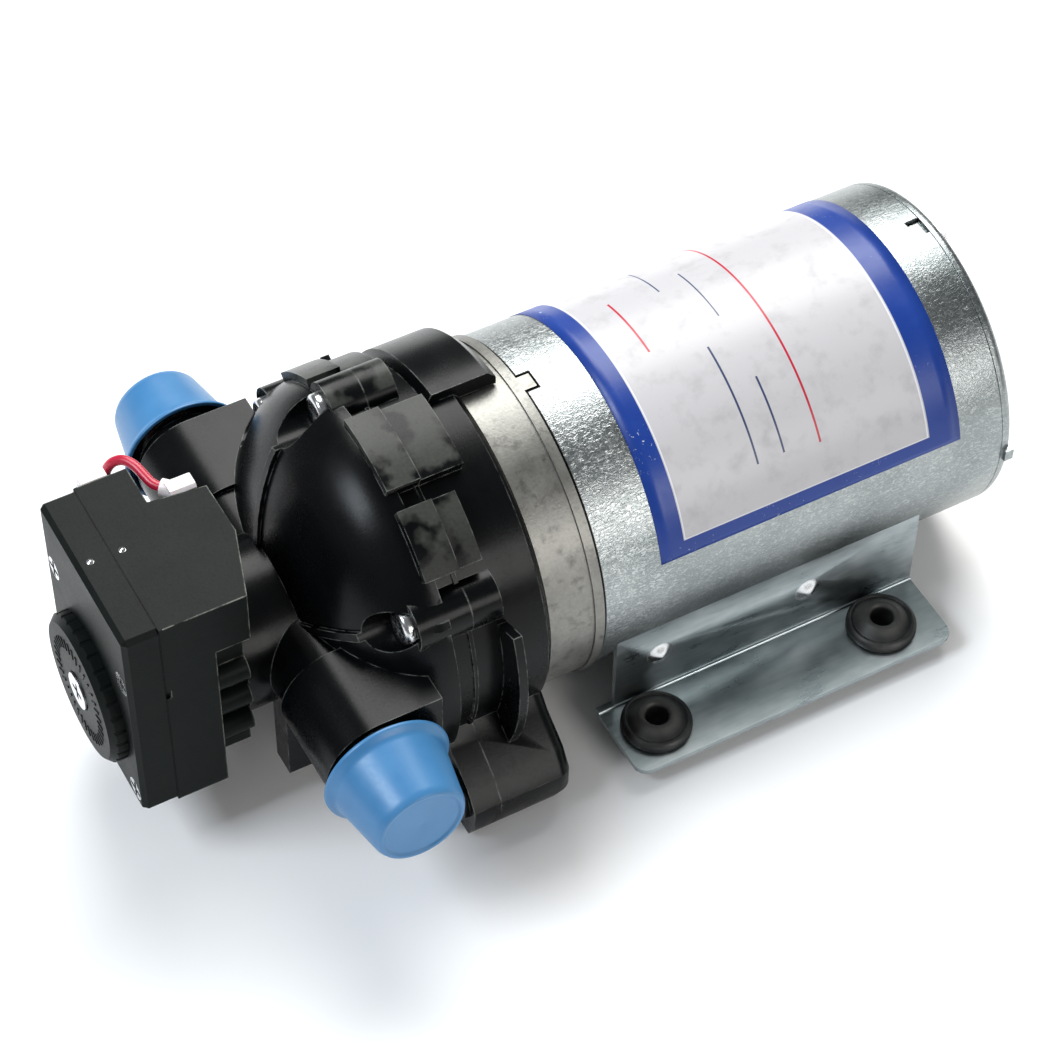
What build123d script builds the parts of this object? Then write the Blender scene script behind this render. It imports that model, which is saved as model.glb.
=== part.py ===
from build123d import *
import os
from math import cos, pi, radians, sin, sqrt

# A 12 V diaphragm pump for a caravan's fresh water, lying on its side on four rubber grommets.
# Millimetres. The pump frame used below has X along the motor shaft, from the pump head to the motor's
# rear, with zero at the front edge of the motor can, and its Y and Z zero on the shaft. At the end all
# pieces move to the row frame, whose origin is the middle of the whole box on the standing plane.
# Angles round the shaft start at the near side (-Y) and rise over the top.

# Driving sizes of the whole pump
can_radius = 44.0
can_clearance = 2.0
axis_height = can_radius + can_clearance
floor_clearance = 1.4
overrun = 1.0
close_fit = 0.05
part_gap = 0.3
press_gap = 0.02
running_gap = 0.04

# Motor can and its rear end plate
can_wall = 2.4
can_inner = can_radius - can_wall
can_length = 116.2
key_width = 5.0
key_depth = 4.0
key_gap = 0.25
end_plate = 3.2
end_edge_radius = 2.3
spigot_length = 5.0
spigot_wall = 1.8
boss_proud = 2.6
boss_radius = 13.5
ear_width = 3.4
ear_proud = 1.2
ear_length = 2.6
vents = 4
vent_radius = 2.6
vent_pitch_radius = 25.0

# Field magnets
magnet_thickness = 7.0
magnet_rear_gap = 21.2
magnet_start = 17.0
magnet_length = can_length - magnet_start - magnet_rear_gap
magnet_half_angle = 56.0

# Through bolts that pull the end plate and the drive end bell on to the can
bolt_radius = 2.2
bolt_inset = 4.6
bolt_pitch_radius = can_inner - bolt_inset
bolt_head_radius = 4.2
bolt_head_height = 2.4
bolt_boss_radius = 4.5
bolt_boss_length = 10.0

# Shaft, armature, commutator and brushes
shaft_radius = 4.0
air_gap = 0.9
magnet_inner = can_inner - close_fit - magnet_thickness
core_radius = magnet_inner - air_gap
core_length = 56.0
core_slots = 12
slot_width = 3.2
slot_depth = 13.0
slot_lining = 0.2
end_turn_length = 8.0
end_turn_inset = 4.65
end_turn_radius = core_radius - end_turn_inset
end_turn_bore = 6.5
end_turn_round = 3.0
commutator_radius = 12.5
commutator_length = 12.0
commutator_bars = 24
bar_gap = 0.6
bar_depth = 1.6
commutator_standoff = 1.4
brush_width = 8.0
brush_height = 5.0
brush_length = 10.5
holder_wall = 0.8
holder_gap = 0.12
holder_start_gap = 1.6
holder_length = 17.0
brush_spring_radius = 1.9
brush_spring_wall = 0.5
card_thickness = 1.6
card_margin = 1.8
card_radius = bolt_pitch_radius - bolt_radius - card_margin
card_bore = 14.0
card_gap = 1.2
card_post_radius = 2.6
card_post_pitch = 27.0
bushing_length = 8.0
bushing_wall = 3.6
hub_wall = 2.6
hub_depth = 9.0
shaft_end_play = 0.6

# Drive end bell, a casting with the front bearing
bell_length = 15.5
bell_proud = 0.3
bell_radius = can_radius + bell_proud
bell_lip = 0.5
bell_lip_length = 2.6
bell_wall = 4.0
bell_web = 3.5
bell_edge = 0.8
bearing_radius = 11.0
bearing_width = 7.0
bearing_ring = 2.1
bearing_ball = 1.75
bearing_balls = 7
bearing_hub_wall = 3.4
shaft_hole_radius = 8.5
vane_half_thickness = 1.2
bell_vanes = 6

# Lead grommet in the far side of the bell
lead_radius = 1.3
lead_hole_radius = 4.2
lead_grommet_radius = 6.0
lead_grommet_proud = 2.4
lead_grommet_groove = 0.1
lead_spacing = 3.4
lead_hole_height_share = -0.16

# Side brackets, pressed sheet welded to the can
sheet = 1.5
bend_radius = 0.6
flange_lift = 4.8
flange_height = flange_lift - axis_height
web_inset = 2.2
web_offset = can_radius - web_inset
flange_start = 1.1
flange_end = 94.9
web_setback = 4.6
flange_corner = 3.8
dimple_radius = 3.4
dimple_depth = 0.8
dimple_setbacks = (17.4, 61.0)
dimple_height = -25.4
weld_gap = 0.02

# Rubber grommets that the pump stands on
grommet_radius = 9.2
grommet_bore = 3.1
grommet_groove_radius = 6.4
grommet_top = 4.6
grommet_top_radius = 7.0
grommet_edge = 1.0
grommet_out = 9.9
grommet_across = web_offset + grommet_out
flange_margin = 11.7
flange_reach = grommet_across + flange_margin
grommet_first = 12.4
grommet_spacing = 67.2

# Rating label, a foil round the top of the can
label_start = 16.7
label_end = 103.4
label_thickness = 0.15
label_low_angle = 15.3
label_high_angle = 196.0

# Rear pump housing
parting = 36.0
rear_proud = 2.4
rear_radius = bell_radius + rear_proud
rear_side_wall = 5.1
rear_cavity_radius = rear_radius - rear_side_wall
rear_wall = 3.0
cam_hole_radius = 14.5
flange_pad_proud = 3.5
flange_pad_radius = rear_radius + flange_pad_proud
rear_edge = 1.2
lug_reach = 10.5
lug_gap = 0.15
lug_angles = (93.0, 147.0)
lug_proud = 2.6
lug_start = 9.0
lug_bevel = 2.2
rear_pad_lengths = (11.5, 6.5, 9.0)
rear_pad_angles = ((69.0, 94.0), (43.0, 63.0), (106.0, 138.0))
rib_thickness = 2.4
rib_setback = 7.0
rib_reach = 8.0
rib_angles = (-42.0, 21.0)
corner_lobe_shares = ((0.86, -0.30), (1.00, -0.45), (1.18, -0.57), (1.265, -0.69), (1.265, -0.82),
                      (1.19, -0.962), (0.75, -0.962), (0.55, -0.80))
ledge_width = 3.0
lobe_round = 4.0

# Wobble drive: a tilted journal on the shaft, its bearing and the wobble plate
tilt = 3.5
drive_centre = 24.7
drive_bearing_radius = 13.5
drive_bearing_width = 7.0
drive_bearing_ring = 2.2
drive_ball = 2.0
drive_balls = 9
journal_radius = 6.0
collar_length = 2.0
collar_radius = 7.9
cam_base_radius = 9.0
cam_base_length = 1.4
wobble_wall = 4.0
wobble_disc = 3.0
wobble_disc_gap = 0.6
arm_half_width = 7.5
piston_pitch = 21.0
piston_post_radius = 6.5
post_screw_radius = 1.6

# Diaphragm, pistons and valve plate
diaphragm_thickness = 2.0
plate_margin = 1.4
plate_radius = rear_cavity_radius - plate_margin
diaphragm_radius = plate_radius
piston_disc_radius = 11.0
piston_roll_gap = 1.3
insert_radius = 8.0
insert_thickness = 1.8
piston_screw_head = 3.2
piston_screw_height = 1.4
piston_screw_length = 7.5
chamber_radius = 14.0
chamber_depth = 6.6
valve_web = 3.4
inlet_holes = 3
inlet_hole_radius = 1.5
inlet_hole_pitch = 4.2
inlet_valve_radius = 6.6
inlet_valve_thickness = 0.8
inlet_valve_share = 1.24
valve_stem_radius = 1.4
valve_seat_gap = 0.05
outlet_hole_radius = 1.6
outlet_hole_pitch = 9.2
outlet_valve_radius = 12.4
outlet_valve_thickness = 1.0
seal_radius = 1.5
seal_ring_radius = 16.2

# Front pump housing: flange, dome, port beam and switch neck
flange_length = 9.0
dome_centre = 42.0
dome_depth = 28.0
dome_proud = 2.8
dome_radius = rear_radius + dome_proud
inlet_ring_inner = 18.6
inlet_ring_outer = 34.0
inlet_ring_depth = 5.2
outlet_chamber_radius = 13.2
outlet_chamber_depth = 17.5
neck_radius = 20.5
neck_front = 84.0
sense_hole_radius = 1.5
front_pad_angles = ((69.0, 94.0), (43.0, 63.0), (118.0, 140.0))
front_pad_extra = 1.4
seam_angles = (71.0, 150.0)
seam_half_thickness = 1.1
seam_proud = 1.6
seam_lip = 0.5
seam_lip_length = 1.1
foot_offset = 20.5
foot_half_width = 3.6
foot_bottom = 36.0
foot_front = 76.8
foot_length = 8.5
front_foot_setback = 1.5

# Ports
port_axis_x = 65.6
port_axis_z = -1.8
port_boss_radius = 14.2
port_shoulder_width = 16.5
port_block_start = 29.0
port_block_end = 53.6
port_core_radius = 12.8
stub_radius = 10.45
stub_end = 73.4
stub_collar_radius = 12.6
stub_collar_length = 3.0
port_bore_radius = 7.2
thread_pitch = 1.814
thread_depth = 0.9
thread_turns = 8
inlet_bore_end = 21.0
transfer_radius = 4.6
transfer_offset = 27.0
valve_seat_offset = 30.0
seat_bore_radius = 4.4

# Check valve in the outlet port
poppet_radius = 6.3
poppet_thickness = 2.2
poppet_stem_radius = 1.4
poppet_stem_length = 12.0
poppet_travel = 3.0
poppet_spring_radius = 4.6
poppet_spring_wall = 0.7
guide_thickness = 2.2
guide_holes = 5
guide_hole_radius = 1.7
guide_hub_radius = 2.8

# Port caps, thin moulded covers pushed over the threads
cap_wall = 1.1
cap_length = 18.6
cap_rim_radius = 16.4
cap_rim_length = 2.2
cap_mouth_radius = 14.6
cap_end_radius = 11.8
cap_end_round = 1.2

# Housing screws: angle, distance from the shaft as a share of the valve plate's radius, and how far
# ahead of the flange the head lies
screw_angles = (31.0, 109.0, 149.0, 214.5, 325.5)
screw_pitch_shares = (1.0864, 1.1489, 1.0864, 1.4985, 1.4985)
screw_stand_offs = (4.8, 0.0, 4.8, 0.0, 0.0)
housing_screw_radius = 2.0
housing_head_radius = 4.7
housing_head_height = 2.6
housing_boss_radius = 7.0
housing_screw_depth = 8.0
head_pocket_gap = 0.5

# Pressure switch
switch_axis_z = -3.2
switch_half_width = 24.2
switch_bottom = -27.0
switch_top = 39.0
switch_front = 115.4
cover_length = 9.0
switch_wall = 2.4
switch_edge = 1.2
lower_back = 93.0
overhang_bottom = 23.0
overhang_outline = ((78.2, 10.4), (78.0, -5.3), (84.1, -24.2))
notch_front = 92.7
notch_depth = 12.2
neck_half_width = 18.5
neck_half_height = 19.5
neck_ribs = 3
neck_rib_radius = 3.6
switch_bore_radius = 10.2
spring_bore_radius = 8.3
spring_bore_start = 90.6
pocket_bottom = 12.0
window_half_size = 1.3
window_depth = 1.0
window_height = 14.5
switch_diaphragm_radius = 12.0
switch_diaphragm_thickness = 1.5
plunger_radius = 9.6
plunger_thickness = 2.2
plunger_stem_radius = 3.0
plunger_stem_length = 4.0
plunger_travel = 1.2
plunger_arm_half_width = 2.5
plunger_arm_top = 28.0
spring_radius = 6.4
spring_wall = 1.3
seat_radius = 7.9
seat_thickness = 3.0
seat_front = 105.2
seat_key_half_width = 1.4
seat_key_radius = 9.7
seat_key_gap = 0.25
adjust_screw_radius = 2.5
adjust_head_radius = 4.9
adjust_head_height = 2.2
adjust_head_proud = 0.6
adjust_screw_length = 21.0
adjust_collar_radius = 4.0
adjust_collar_length = 1.0
knob_radius = 19.4
knob_thickness = 4.3
knob_bevel = 1.6
knob_flutes = 30
flute_radius = 0.8
cross_width = 1.2
cross_length = 5.4
cross_depth = 1.3
corner_screw_radius = 1.5
corner_screw_head = 3.1
corner_screw_height = 1.6
corner_screw_length = 14.0
corner_screw_y = 19.6
corner_screw_heights = (19.5, -22.4)
corner_post_radius = 3.6
micro_size = (10.0, 24.0, 11.0)
micro_front = 106.0
micro_bottom = 23.3
micro_far_gap = 1.8
button_radius = 1.5
button_gap = 0.1
button_depth = 3.0
blade_width = 4.8
blade_thickness = 0.8
blade_height = 35.4
blade_front_x = 100.6
blade_rear_x = 83.1
blade_slot_gap = 0.1
blade_reach = 4.0
blade_root = 4.0

# Push-on connectors, with a crimped barrel each, and the two leads
connector_length = 6.6
connector_width = 5.0
connector_height = 5.2
connector_edge = 0.8
connector_slot_gap = 0.15
barrel_radius = 2.2
barrel_length = 1.6
barrel_root = 2.4
front_lead_straight = 3.0
rear_lead_straight = 2.0
front_barrel_dip = 50.0
rear_barrel_turn = 45.0


def polar(radius, angle):
    """Y and Z at a radius and an angle that starts at the near side and rises over the top."""
    return -radius * cos(radians(angle)), radius * sin(radians(angle))


def rod(radius, start, end, y=0, z=0):
    """A solid cylinder along the shaft direction, from start to end."""
    return Pos((start + end) / 2, y, z) * Rot(0, 90, 0) * Cylinder(radius, abs(end - start))


def tube(outer, inner, start, end, y=0, z=0):
    """A hollow cylinder along the shaft direction."""
    return rod(outer, start, end, y, z) - rod(inner, start - overrun, end + overrun, y, z)


def cross_rod(radius, start, end, x, z):
    """A solid cylinder along Y."""
    return Pos(x, (start + end) / 2, z) * Rot(90, 0, 0) * Cylinder(radius, abs(end - start))


def block(x0, x1, y0, y1, z0, z1):
    """A box between two corners."""
    return Pos((x0 + x1) / 2, (y0 + y1) / 2, (z0 + z1) / 2) * Box(abs(x1 - x0), abs(y1 - y0), abs(z1 - z0))


def turned(*points):
    """The solid that an outline of (x, radius) points sweeps round the shaft."""
    return revolve(make_face(Polyline(*points, close=True)), Axis.X)


def wedge(start, end, low, high, reach):
    """A slice of pie round the shaft between two angles less than half a turn apart."""
    middle = (low + high) / 2
    points = [(0, 0), polar(reach, low), polar(reach, middle), polar(reach, high)]
    face = make_face(Polyline(*points, close=True))
    return extrude(Plane.YZ.offset(start) * face, end - start)


def pad(outer, inner, start, end, low, high):
    """A raised patch on a round wall, between two angles."""
    return tube(outer, inner, start, end) & wedge(start, end, low, high, outer * 2)


def plate(points, start, end):
    """A flat outline of (y, z) points, as thick as start to end along the shaft."""
    return extrude(Plane.YZ.offset(start) * make_face(Polyline(*points, close=True)), end - start)


def cross_recess(face_x, y, z):
    """The two crossed grooves in a screw head whose face looks forwards."""
    half_long = cross_length / 2
    half_wide = cross_width / 2
    ahead = face_x - overrun
    deep = face_x + cross_depth
    return (block(ahead, deep, y - half_long, y + half_long, z - half_wide, z + half_wide)
            + block(ahead, deep, y - half_wide, y + half_wide, z - half_long, z + half_long))


def bearing_rings(inner_bore, inner_ring, outer_ring, outer, width, ball):
    """Inner ring, outer ring, ball circle radius: a ball bearing centred on the origin, along X."""
    circle = (inner_bore + inner_ring + outer - outer_ring) / 2
    groove = revolve(Pos(0, circle) * Circle(ball + running_gap), Axis.X)
    inner = tube(inner_bore + inner_ring, inner_bore, -width / 2, width / 2) - groove
    shell = tube(outer, outer - outer_ring, -width / 2, width / 2) - groove
    return inner, shell, circle


def ball_set(circle, ball, count):
    """The balls of a bearing, evenly spaced and centred on the origin."""
    balls = []
    for number in range(count):
        y, z = polar(circle, 360 * number / count)
        balls.append(Pos(0, y, z) * Sphere(ball))
    return balls


def mirrored(shape):
    """The same shape on the other side of the shaft."""
    return mirror(shape, Plane.XZ)


# Places along the shaft that follow from the sizes above
end_face = can_length + end_plate
bushing_start = can_length - hub_depth + shaft_end_play
hub_radius = shaft_radius + bushing_wall + hub_wall
card_front = can_length - hub_depth - card_gap - card_thickness
commutator_end = card_front - commutator_standoff
commutator_start = commutator_end - commutator_length
core_end = commutator_start - end_turn_length
core_start = core_end - core_length
brush_middle = (commutator_start + commutator_end) / 2
shaft_rear = can_length - shaft_end_play
bearing_middle = -bell_length + bell_web + bearing_width / 2
drive_middle = -drive_centre
journal_front = drive_middle - drive_bearing_width / 2
journal_rear = drive_middle + drive_bearing_width / 2
shaft_front = journal_front + wobble_disc_gap
disc_rear = journal_front - wobble_disc_gap
disc_front = disc_rear - wobble_disc
diaphragm_rear = -parting + diaphragm_thickness
plate_front = -parting - chamber_depth - valve_web
flange_front = -parting - flange_length
dome_apex = -dome_centre - dome_depth
switch_back = -neck_front
cover_back = -switch_front + cover_length
lower_rear = -lower_back
knob_front = -switch_front - knob_thickness
front_reach = switch_front + knob_thickness + adjust_head_proud
rear_reach = end_face + boss_proud
frame_x = (front_reach - rear_reach) / 2
piston_angles = (30.0, 150.0, 270.0)
tilted = Pos(drive_middle, 0, 0) * Rot(0, tilt, 0)


def motor_can():
    can = tube(can_radius, can_inner, 0, can_length)
    key = key_width / 2 + key_gap
    front_slot = block(-overrun, key_depth, -key, key, can_inner / 2, can_radius + overrun)
    rear_slot = block(can_length - key_depth, can_length + overrun, -key, key, can_inner / 2,
                      can_radius + overrun)
    return can - front_slot - rear_slot


def rear_end_plate():
    rim = can_radius - end_edge_radius
    edge = (Line((can_length, 0), (can_length, can_radius))
            + Line((can_length, can_radius), (end_face - end_edge_radius, can_radius))
            + RadiusArc((end_face - end_edge_radius, can_radius), (end_face, rim), end_edge_radius)
            + Line((end_face, rim), (end_face, 0)) + Line((end_face, 0), (can_length, 0)))
    cap = revolve(make_face(edge), Axis.X)
    cap += tube(can_inner - close_fit, can_inner - spigot_wall, can_length - spigot_length,
                can_length + end_plate / 2)
    cap += rod(hub_radius, can_length - hub_depth, can_length + end_plate / 2)
    cap += turned((end_face - end_plate / 2, 0), (end_face - end_plate / 2, boss_radius),
                  (end_face, boss_radius), (end_face + boss_proud, boss_radius - boss_proud),
                  (end_face + boss_proud, 0))
    key = key_width / 2 - key_gap
    cap += block(can_length - key_depth + key_gap, can_length + end_plate / 2, -key, key,
                 can_inner - spigot_wall, can_radius - close_fit - can_wall / 2)
    for side in (0, 180):
        y, z = polar(card_post_pitch, side)
        cap += rod(card_post_radius, card_front + card_thickness, can_length + end_plate / 2, y, z)
        y, z = polar(can_radius, side)
        cap += block(end_face - ear_length, end_face, y - ear_proud, y + ear_proud, z - ear_width / 2,
                     z + ear_width / 2)
    cap -= rod(shaft_radius + bushing_wall, can_length - hub_depth - overrun,
               bushing_start + bushing_length + press_gap)
    for side in (90, 270):
        y, z = polar(bolt_pitch_radius, side)
        cap -= rod(bolt_radius + close_fit, can_length - spigot_length - overrun, end_face + overrun, y, z)
    for number in range(vents):
        y, z = polar(vent_pitch_radius, 360 * (number + 0.5) / vents)
        cap -= rod(vent_radius, can_length - overrun, end_face + overrun, y, z)
    return cap


def field_magnets():
    outer = can_inner - close_fit
    near = pad(outer, magnet_inner, magnet_start, magnet_start + magnet_length, -magnet_half_angle,
               magnet_half_angle)
    return Compound([near.solid(), mirrored(near).solid()])


def motor_shaft():
    return rod(shaft_radius, shaft_front, shaft_rear)


def slot_bars(width, depth, start, end):
    """The twelve bars that fill or cut the armature's slots."""
    bars = Part()
    for number in range(core_slots):
        bar = block(start, end, -width / 2, width / 2, core_radius - depth, core_radius + overrun)
        bars += Rot(360 * number / core_slots, 0, 0) * bar
    return bars


def armature_core():
    core = tube(core_radius, shaft_radius + press_gap, core_start, core_end)
    return core - slot_bars(slot_width, slot_depth, core_start - overrun, core_end + overrun)


def armature_windings():
    rings = Part()
    for start in (core_start - end_turn_length, core_end + press_gap):
        ring = tube(end_turn_radius, end_turn_bore, start, start + end_turn_length - press_gap)
        rings += fillet(ring.edges().filter_by(GeomType.CIRCLE).group_by(SortBy.RADIUS)[-1], end_turn_round)
    lined = slot_width - 2 * slot_lining
    bars = slot_bars(lined, slot_depth - slot_lining, core_start - overrun, core_end + overrun)
    bars &= rod(core_radius - slot_width, core_start - overrun, core_end + overrun)
    return rings + bars


def commutator():
    drum = tube(commutator_radius, shaft_radius + press_gap, commutator_start, commutator_end)
    for number in range(commutator_bars):
        cut = block(commutator_start - overrun, commutator_end + overrun, -bar_gap / 2, bar_gap / 2,
                    commutator_radius - bar_depth, commutator_radius + overrun)
        drum -= Rot(360 * number / commutator_bars, 0, 0) * cut
    return drum


def near_brush():
    """The brush on the near side, cut to the commutator's curve."""
    inner = commutator_radius - overrun
    outer = commutator_radius + running_gap + brush_length
    brush = block(brush_middle - brush_width / 2, brush_middle + brush_width / 2, -outer, -inner,
                  -brush_height / 2, brush_height / 2)
    return brush - rod(commutator_radius + running_gap, commutator_start - overrun,
                       commutator_end + overrun)


def near_brush_holder():
    """A brass box round the near brush, open towards the commutator, with its foot on the brush card."""
    inner = commutator_radius + holder_start_gap
    outer = inner + holder_length
    half_x = brush_width / 2 + holder_gap
    half_z = brush_height / 2 + holder_gap
    box = block(brush_middle - half_x - holder_wall, card_front, -outer, -inner,
                -half_z - holder_wall, half_z + holder_wall)
    hollow = block(brush_middle - half_x, brush_middle + half_x, -outer + holder_wall, -inner + overrun,
                   -half_z, half_z)
    return box - hollow


def near_brush_spring():
    start = commutator_radius + running_gap + brush_length + close_fit
    end = commutator_radius + holder_start_gap + holder_length - holder_wall - close_fit
    spring = cross_rod(brush_spring_radius, -end, -start, brush_middle, 0)
    return spring - cross_rod(brush_spring_radius - brush_spring_wall, -end - overrun, -start + overrun,
                              brush_middle, 0)


def brush_holders():
    near = near_brush_holder()
    return Compound([near.solid(), mirrored(near).solid()])


def brush_card():
    card = tube(card_radius, card_bore, card_front, card_front + card_thickness)
    for side in (90, 270):
        y, z = polar(bolt_pitch_radius, side)
        card -= rod(bolt_boss_radius + overrun, card_front - overrun, card_front + card_thickness + overrun,
                    y, z)
    return card


def rear_bushing():
    bore = shaft_radius + running_gap
    return tube(shaft_radius + bushing_wall - press_gap, bore, bushing_start - shaft_end_play,
                bushing_start + bushing_length)


def through_bolts():
    bolts = []
    for side in (90, 270):
        y, z = polar(bolt_pitch_radius, side)
        bolt = rod(bolt_radius, bolt_boss_length - bell_length, end_face + bolt_head_height / 2, y, z)
        head = extrude(Plane.YZ.offset(end_face) * Pos(y, z) * RegularPolygon(bolt_head_radius, 6),
                       bolt_head_height)
        bolts.append((bolt + head).solid())
    return Compound(bolts)


def drive_end_bell():
    inner = bell_radius - bell_wall
    bell = turned((-bell_length, 0), (-bell_length, bell_radius - bell_edge),
                  (bell_edge - bell_length, bell_radius),
                  (-bell_lip_length, bell_radius), (-bell_lip_length, bell_radius + bell_lip),
                  (0, bell_radius + bell_lip),
                  (0, 0))
    bell -= rod(inner, bell_web - bell_length, overrun)
    spigot = tube(can_inner - close_fit, can_inner - spigot_wall, -bell_lip_length, spigot_length)
    hub_outer = bearing_radius + bearing_hub_wall
    hub_rear = bearing_middle + bearing_width / 2 + close_fit
    hub = rod(hub_outer, -bell_length, hub_rear)
    vanes = Part()
    for number in range(bell_vanes):
        vane = block(-bell_length, -bell_lip_length, -vane_half_thickness, vane_half_thickness,
                     hub_outer - overrun, inner + overrun)
        vanes += Rot(360 * (number + 0.5) / bell_vanes, 0, 0) * vane
    for side in (90, 270):
        y, z = polar(bolt_pitch_radius, side)
        bell += rod(bolt_boss_radius, -bell_length, -bell_lip_length, y, z)
    bell = bell + spigot + hub + vanes
    bell -= rod(bearing_radius, bearing_middle - bearing_width / 2, overrun)
    bell -= rod(shaft_hole_radius, -bell_length - overrun, overrun)
    for side in (90, 270):
        y, z = polar(bolt_pitch_radius, side)
        bell -= rod(bolt_radius + close_fit, bolt_boss_length - bell_length - close_fit,
                    spigot_length + overrun, y, z)
    key = key_width / 2 - key_gap
    bell += block(-bell_lip_length, key_depth - key_gap, -key, key, can_inner - spigot_wall,
                  can_radius - close_fit)
    bell -= lead_hole(lead_hole_radius + close_fit)
    return bell


def lead_hole(radius):
    """A cylinder through the far wall of the bell where the leads go in."""
    return cross_rod(radius, bell_radius - 2 * bell_wall, bell_radius + lead_grommet_proud + overrun,
                     lead_hole_x, lead_hole_z)


lead_hole_x = -(bell_length + bell_lip_length) / 2
lead_hole_z = lead_hole_height_share * bell_radius
lead_hole_y = sqrt(bell_radius ** 2 - lead_hole_z ** 2)


def lead_grommet():
    outside = bell_radius + lead_grommet_proud
    inside = lead_hole_y - bell_wall
    sleeve = cross_rod(lead_hole_radius, inside, outside, lead_hole_x, lead_hole_z)
    lip = cross_rod(lead_grommet_radius, lead_hole_y - bell_wall / 2, outside, lead_hole_x, lead_hole_z)
    lip -= rod(bell_radius + lead_grommet_groove, -bell_length - overrun, overrun)
    grommet = sleeve + lip
    for side in (-lead_spacing / 2, lead_spacing / 2):
        grommet -= cross_rod(lead_radius + close_fit, inside - overrun, outside + overrun,
                             lead_hole_x, lead_hole_z + side)
    return grommet


def near_bracket():
    """One pressed side foot: a flange that holds two grommets and a web welded to the can."""
    top = flange_height + sheet
    inner_web = web_offset - sheet
    outer_bend = bend_radius + sheet
    outline = (Line((-flange_reach, flange_height), (-inner_web - outer_bend, flange_height))
               + RadiusArc((-inner_web - outer_bend, flange_height),
                           (-inner_web, flange_height + outer_bend), outer_bend)
               + Line((-inner_web, flange_height + outer_bend), (-inner_web, 0))
               + Line((-inner_web, 0), (-web_offset, 0))
               + Line((-web_offset, 0), (-web_offset, top + bend_radius))
               + RadiusArc((-web_offset, top + bend_radius), (-web_offset - bend_radius, top), -bend_radius)
               + Line((-web_offset - bend_radius, top), (-flange_reach, top))
               + Line((-flange_reach, top), (-flange_reach, flange_height)))
    foot = extrude(Plane.YZ.offset(flange_start) * make_face(outline), flange_end - flange_start)
    corners = foot.edges().filter_by(Axis.Z).group_by(Axis.Y)[0]
    foot = fillet(corners, flange_corner)
    web_low = top + bend_radius
    foot -= block(flange_start - overrun, flange_start + web_setback, -web_offset - overrun, 0, web_low,
                  overrun)
    for setback in dimple_setbacks:
        dome = Pos(flange_start + setback, -web_offset, dimple_height) * Rot(90, 0, 0) * Cone(
            dimple_radius, dimple_radius / 2, dimple_depth, align=(Align.CENTER, Align.CENTER, Align.MIN))
        foot += dome
    cut = rod(can_radius + weld_gap, -overrun, can_length)
    foot -= cut
    foot -= block(flange_start - overrun, flange_end + overrun, -web_offset - overrun, 0, -web_upper,
                  overrun)
    for number in range(2):
        x = grommet_first + number * grommet_spacing
        hole = Pos(x, -grommet_across, flange_height) * Cylinder(grommet_groove_radius + close_fit,
                                                                 4 * sheet)
        foot -= hole
    return foot


web_upper = sqrt(can_radius ** 2 - web_offset ** 2)


def grommet(x, y):
    """One rubber grommet clipped through the bracket's flange, with a bolt hole through it."""
    bottom = -axis_height
    low = flange_height - close_fit
    top = flange_height + sheet + close_fit
    crown = top + grommet_top
    profile = Polyline((grommet_bore, bottom), (grommet_radius - grommet_edge, bottom),
                       (grommet_radius, bottom + grommet_edge), (grommet_radius, low),
                       (grommet_groove_radius, low),
                       (grommet_groove_radius, top), (grommet_radius, top),
                       (grommet_radius, top + grommet_edge), (grommet_top_radius, crown),
                       (grommet_bore, crown),
                       close=True)
    ring = revolve(Plane.XZ * make_face(profile), Axis.Z)
    return Pos(x, y, 0) * ring


def mounting_grommets():
    rings = []
    for number in range(2):
        for side in (-grommet_across, grommet_across):
            rings.append(grommet(grommet_first + number * grommet_spacing, side).solid())
    return Compound(rings)


def rating_label():
    outer = can_radius + label_thickness
    middle = (label_low_angle + label_high_angle) / 2
    low = pad(outer, can_radius + weld_gap, label_start, label_end, label_low_angle, middle)
    return low + pad(outer, can_radius + weld_gap, label_start, label_end, middle, label_high_angle)


def lobe_outline(side):
    """The outline of a lower corner lobe, as shares of the rear housing's radius."""
    return [(side * across * rear_radius, up * rear_radius) for across, up in corner_lobe_shares]


def screw_place(number):
    """Y and Z of one housing screw, and X of the flange face that its head sits on."""
    y, z = polar(screw_pitch_shares[number] * plate_radius, screw_angles[number])
    return y, z, flange_front - screw_stand_offs[number]


def underside():
    """What is cut off below both housings, so that they clear the surface that the grommets stand on."""
    reach = 2 * rear_radius
    return block(dome_apex, 0, -reach, reach, -reach, floor_clearance - axis_height)


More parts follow.
